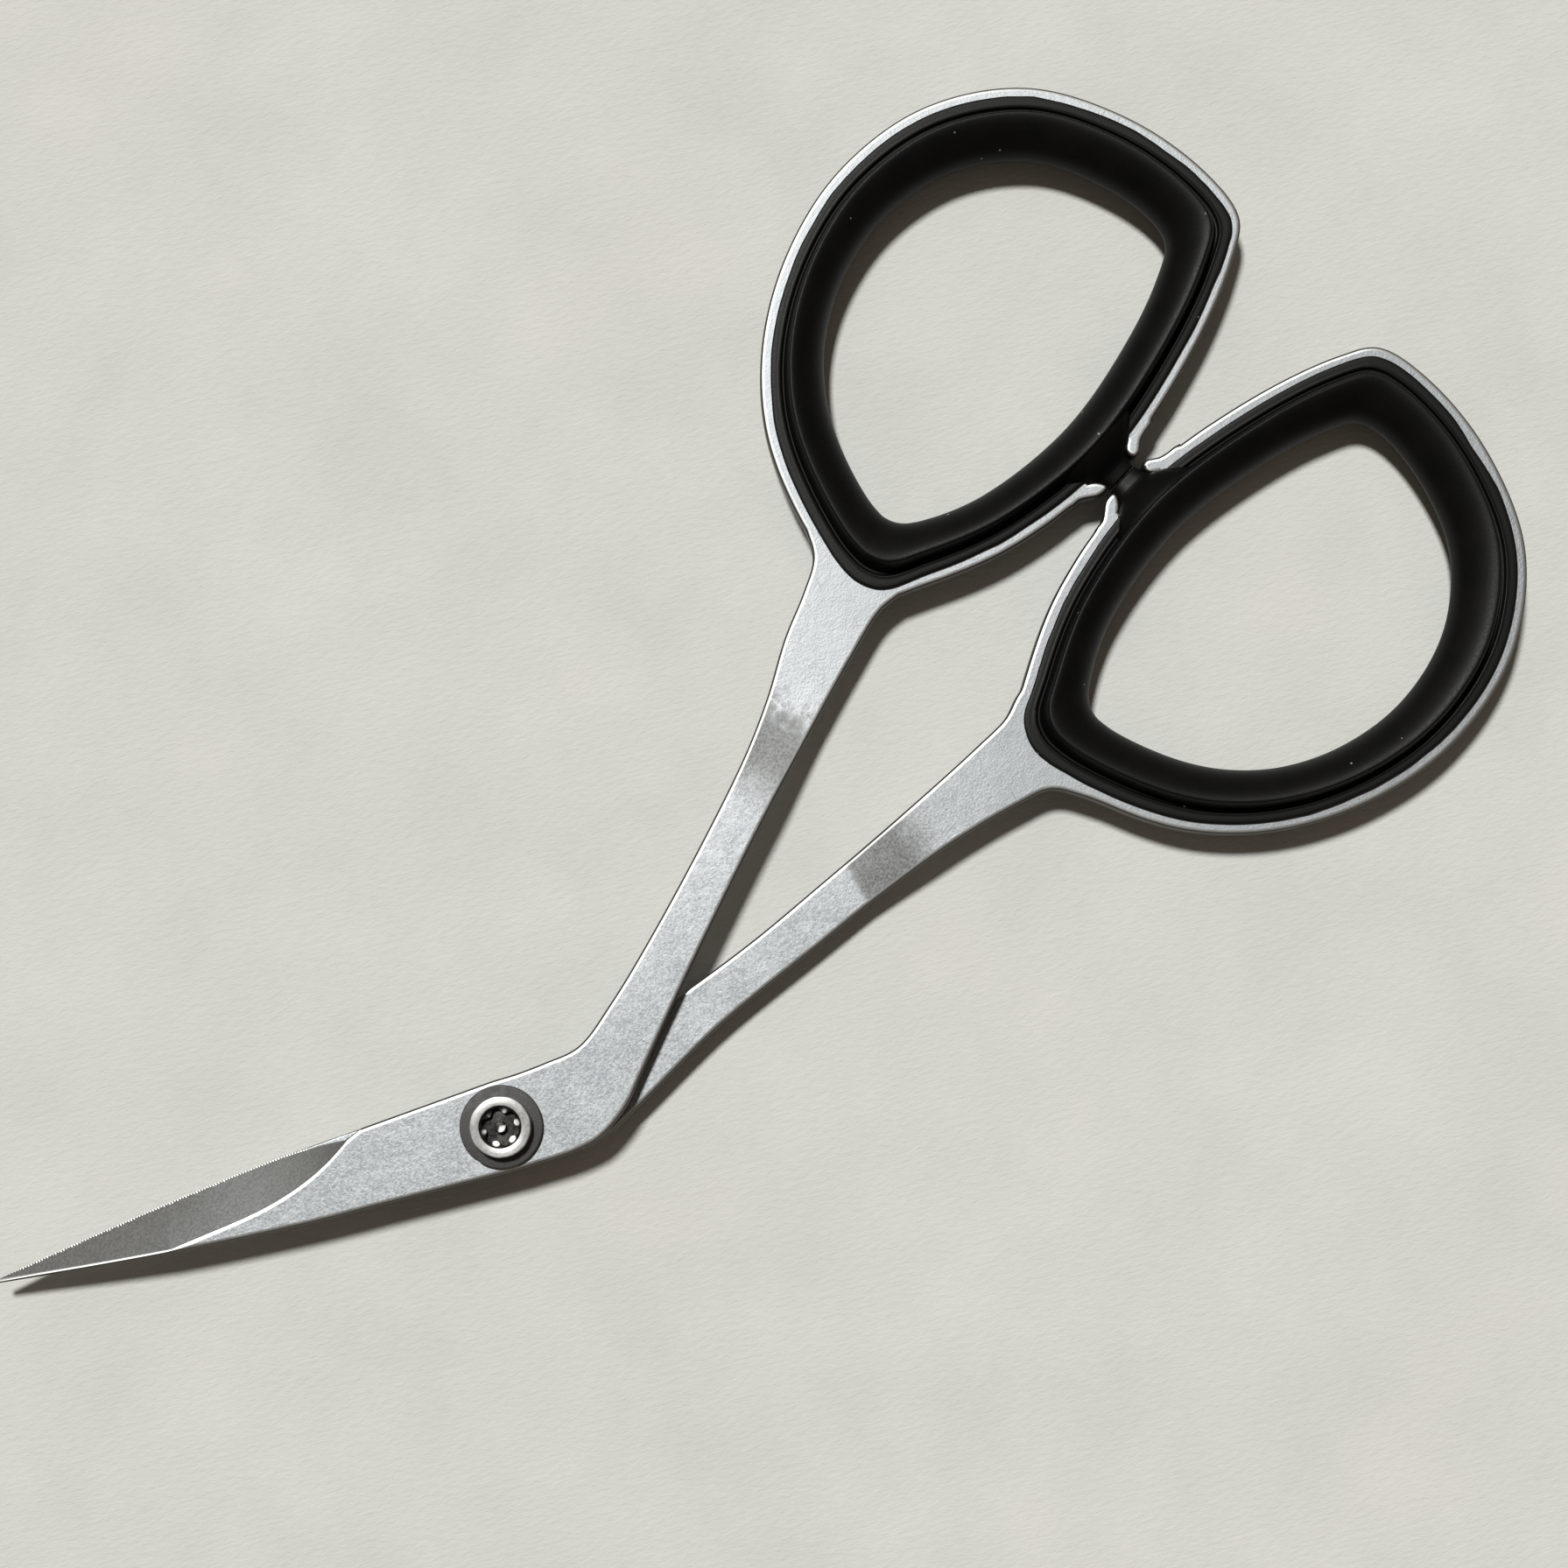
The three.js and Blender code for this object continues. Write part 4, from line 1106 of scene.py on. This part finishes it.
def loft(name, rows, closed=False):
    """Rows of the same number of points, in mm, joined into one skin with its ends filled."""
    shape = bmesh.new()
    rings = [[shape.verts.new(Vector(p) * MM) for p in row] for row in rows]
    for near, far in zip(rings, rings[1:] + rings[:1] if closed else rings[1:]):
        for i, point in enumerate(near):
            j = (i + 1) % len(near)
            shape.faces.new((point, near[j], far[j], far[i]))
    if not closed:
        shape.faces.new(rings[0])
        shape.faces.new(rings[-1])
    return plain(name, shape)


def round_the_clock(steps):
    return 2 * np.pi * np.arange(steps) / steps


def bumper_mesh(side):
    knots = np.array(BUMPER_STATIONS)
    t = np.linspace(0, len(knots) - 1, BUMPER_STEPS * len(knots))
    angle = round_the_clock(BUMPER_CORNERS)
    x, z = (np.sign(f) * abs(f) ** (2 / BUMPER_SQUARENESS) for f in (np.cos(angle), np.sin(angle)))
    rows = []
    for y, wide, tall in np.column_stack([np.interp(t, range(len(knots)), k) for k in knots.T]):
        at_y = np.full(BUMPER_CORNERS, side * y)
        rows.append(np.column_stack([x * wide + BUMPER_MIDDLE, at_y, z * tall + MIDDLE]))
    mesh = loft("bumper", rows)
    keep_number(mesh, "inwards", np.full(len(mesh.vertices), BUMPER_INWARDS))
    return mesh


for name, side in (("upper_grip", 1), ("lower_grip", -1)):
    show(name + "_bumper", bumper_mesh(side), "soft_rubber", name)

# %% [markdown]
# ## Turned pieces
# The screw and the washers are round, so each is a line turned about the pivot: a list of rows,
# each a distance and a height. The recess in the screw's head isn't round: there the distance
# from the axis also changes with the angle.

# %% Turning rows about the pivot
TURN_STEPS = 144


def turned(name, rows, closed=False):
    """Rows are (distance, height) in mm, and a distance may be one number for each angle."""
    x, y = np.cos(round_the_clock(TURN_STEPS)), np.sin(round_the_clock(TURN_STEPS))
    return loft(name, [np.column_stack([r * x, r * y, z + 0 * x]) for r, z in rows], closed)


def rounded_corner(outer, top, radius, steps=5):
    """Rows round a convex corner, from its side to its top."""
    centre = outer - radius, top - radius
    turns = np.radians(np.linspace(0, 90, steps))
    return [(centre[0] + radius * math.cos(a), centre[1] + radius * math.sin(a)) for a in turns]


# %% [markdown]
# ## Bright turned steel and dark washers
# A lathe leaves fine rings on the screw's head. They stretch every reflection across
# themselves, so the flat of the head is brighter on two sides. That stretch is the shader's
# anisotropy, with a tangent that runs out from the axis. The recess is painted dark as shade,
# and near-white painted glints on the ledges under its mouth and on the pin's top stand in for
# the lamp's reflections. The washers are dull dark plastic.

# %% Turned steel and acetal
HEAD_TONES = (0.32, 0.32, 0.315), (0.47, 0.47, 0.46)
# painted shade inside the screw's recess
RECESS_PAINTED_SHADE_TONES = (0.012, 0.012, 0.011), (0.07, 0.067, 0.062)
# near-white painted glints, where the lamp's reflection would be
PAINTED_GLINT_TONE = (0.85, 0.85, 0.84)
ACETAL_TONES = (0.030, 0.029, 0.0275), (0.045, 0.0435, 0.0405)
HEAD_ROUGHNESS, PAINTED_GLINT_ROUGHER, ACETAL_ROUGHNESS = (0.42, 0.50), 0.12, (0.48, 0.62)
TURNED_RELIEF = 0.012  # mm, of the lathe's rings and of the plastic's grain

stretched = {"Anisotropic": 0.4, "Anisotropic Rotation": 0.25}
n, into = finish("turned_steel", {"Metallic": 1.0, **stretched})
where = place(n)
from_axis = n.joined(X=n.vector("LENGTH", n.vector("MULTIPLY", where, (1, 1, 0))))
mottle = n.spread(noise(n, where, 3.5, 4, 0.7), 0.3, 0.7)
# painted glints, from the number kept on the screw
glint = n.spread(number(n, "glint"), 0.3, 0.6)
# the recess is painted near-black as shade
bright, recess_painted_shade = n.colour(mottle, *HEAD_TONES), n.colour(mottle, *RECESS_PAINTED_SHADE_TONES)
colour = n.colour(number(n, "dull"), bright, recess_painted_shade)
n.put(into["Base Color"], n.colour(glint, colour, PAINTED_GLINT_TONE))
rough = n.spread(mottle, 0.0, 1.0, *HEAD_ROUGHNESS)
n.put(into["Roughness"], n.sum(rough, n.product(glint, PAINTED_GLINT_ROUGHER)))
n.put(into["Tangent"], n.add("ShaderNodeTangent", direction_type="RADIAL", axis="Z").outputs[0])
n.put(into["Normal"], bump(n, noise(n, from_axis, 11, 3, 0.7), TURNED_RELIEF))
print("turned steel:", len(n.tree.nodes), "nodes")

n, into = finish("acetal")
where = place(n)
mottle = n.spread(noise(n, where, 2.2, 4), 0.35, 0.65)
n.put(into["Base Color"], n.colour(mottle, *ACETAL_TONES))
n.put(into["Roughness"], n.spread(mottle, 0.0, 1.0, *ACETAL_ROUGHNESS))
n.put(into["Normal"], bump(n, noise(n, where, 7, 3), TURNED_RELIEF))
print("acetal:", len(n.tree.nodes), "nodes")

# %% The screw
HEAD_RADIUS, HEAD_ROUND, HEAD_CROWN = 2.0, 0.06, 0.02
HEAD_FLAT, FLAT_DROP = 1.7, 0.006  # where the head is nearly flat, and what it has dropped there
HEAD_UNDER = 0.05  # mm chamfer under the head
HEAD_BURR = 0.02  # mm that its rim is out of round
BURR_WAVES = ((3, 1), (7, 0), (13, 2))  # waves round the rim, and where each starts
SHANK_RADIUS, SHANK_CHAMFER = 0.9, 0.2
MOUTH_RADIUS, MOUTH_DEPTH, MOUTH_ROUND, MOUTH_DROP = 1.375, 0.2, 0.03, 0.012
RECESS_RADIUS, RECESS_LOBE, RECESS_LOBES, RECESS_DEPTH = 1.25, 0.16, 6, 0.7
RECESS_LEDGE, RECESS_DRAFT = 0.02, 0.01  # mm: the step under the mouth, and how much its walls lean
FLOOR_ROWS = (0.88, 0.74)  # shares of the way out, which keep the floor flat
PIN_RADIUS, PIN_HEIGHT, PIN_ROUND = 0.375, 0.55, 0.08
PAINTED_GLINT_TURN, PAINTED_GLINT_EVEN = -1.6, 0.68  # radians to the strongest painted glints, and their share that is the same all round
LEDGE_PAINTED_GLINT, PIN_RIM = 0.03, 0.02  # mm at the ledge that get a painted glint, and round the pin's top that don't

screw_low, screw_high = (v.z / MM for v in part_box("pivot_screw"))
washer_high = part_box("head_washer")[1].z / MM

angle = round_the_clock(TURN_STEPS)
lobes = RECESS_RADIUS - RECESS_LOBE * (1 - np.cos(RECESS_LOBES * angle))
cone = np.maximum(MOUTH_RADIUS - MOUTH_DEPTH, lobes)
floor = screw_high - RECESS_DEPTH
burr = HEAD_BURR * (np.mean([np.sin(k * angle + start) for k, start in BURR_WAVES], 0) - 1)
rim = rounded_corner(HEAD_RADIUS, screw_high - HEAD_CROWN, HEAD_ROUND)
rows = [
    (SHANK_RADIUS - SHANK_CHAMFER, screw_low), (SHANK_RADIUS, screw_low + SHANK_CHAMFER),
    (SHANK_RADIUS, washer_high), (HEAD_RADIUS - HEAD_UNDER, washer_high),
    (HEAD_RADIUS, washer_high + HEAD_UNDER), *((r + burr, z) for r, z in rim),
    (HEAD_FLAT, screw_high - FLAT_DROP), (MOUTH_RADIUS + MOUTH_ROUND, screw_high),
    (MOUTH_RADIUS, screw_high - MOUTH_DROP), (cone, screw_high - MOUTH_RADIUS + cone),
    (lobes, screw_high - MOUTH_DEPTH - RECESS_LEDGE), (lobes - RECESS_DRAFT, floor),
    *((share * lobes, floor) for share in FLOOR_ROWS), (PIN_RADIUS, floor),
    *rounded_corner(PIN_RADIUS, floor + PIN_HEIGHT, PIN_ROUND, 4),
]
screw = turned("screw", rows)
x, y, z = (np.array([v.co for v in screw.vertices]) / MM).T
out, turn = np.hypot(x, y), np.arctan2(y, x)
in_recess = (out < MOUTH_RADIUS + WELD) & (z > floor - WELD)
between = (1 - np.cos(RECESS_LOBES * turn)) / 2
# painted glints: on the ledges between the lobes, strongest on one side, and on the pin's top
on_ledge = (abs(z - screw_high + MOUTH_DEPTH) < LEDGE_PAINTED_GLINT) * between**2
on_pin = np.clip(np.cos(turn - PAINTED_GLINT_TURN), 0, 1) * (out < PIN_RADIUS - PIN_RIM)
uneven = PAINTED_GLINT_EVEN + (1 - PAINTED_GLINT_EVEN) * np.cos(turn - PAINTED_GLINT_TURN)
# the recess is painted dark as shade, and its ledges and the pin's top get painted glints
keep_number(screw, "dull", in_recess * 1.0)
keep_number(screw, "glint", in_recess * np.maximum(on_ledge * uneven, on_pin))
show("pivot_screw_turned", screw, "turned_steel", "pivot_screw", sharp_over=40)

# %% Washers
WASHERS = {"head_washer": (2.7, 0.97), "nut_washer": (3.0, 1.66)}  # radius, and radius of the bore
WASHER_ROUND = 0.07
NICK_AT, NICK_WIDTH, NICK_DEPTH = math.radians(188), math.radians(7), 0.07


def washer(outer, bore, low, high):
    """A washer with the nick in its rim where it was cut from its runner."""
    nick = NICK_DEPTH * np.exp(-(((round_the_clock(TURN_STEPS) - NICK_AT) / NICK_WIDTH) ** 2))
    top = rounded_corner(outer, high, WASHER_ROUND)
    under = [(r, low + high - z) for r, z in top][::-1]
    rim = [(r - nick, z) for r, z in under + top]
    return turned("washer", rim + [(bore, high), (bore, low)], closed=True)


for name, (outer, bore) in WASHERS.items():
    low, high = (v.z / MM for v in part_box(name))
    show(name + "_turned", washer(outer, bore, low, high), "acetal", name)

# %% [markdown]
# ## Nut
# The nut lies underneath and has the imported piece's own shape. A lathe never leaves a sharp
# corner, so a merged copy of it gets a small round on every one.

# %% Nut with rounded corners
NUT_ROUND = 0.06  # mm

shape = welded("pivot_nut")
dissolved = {"verts": shape.verts, "edges": shape.edges}
bmesh.ops.dissolve_limit(shape, angle_limit=math.radians(1), **dissolved)
corners = [edge for edge in shape.edges if edge.calc_face_angle(0) > CORNER_TURN]
bmesh.ops.bevel(shape, geom=corners, offset=NUT_ROUND * MM, segments=3, profile=0.5, affect="EDGES")
show("pivot_nut_turned", plain("nut", shape), "turned_steel", "pivot_nut")
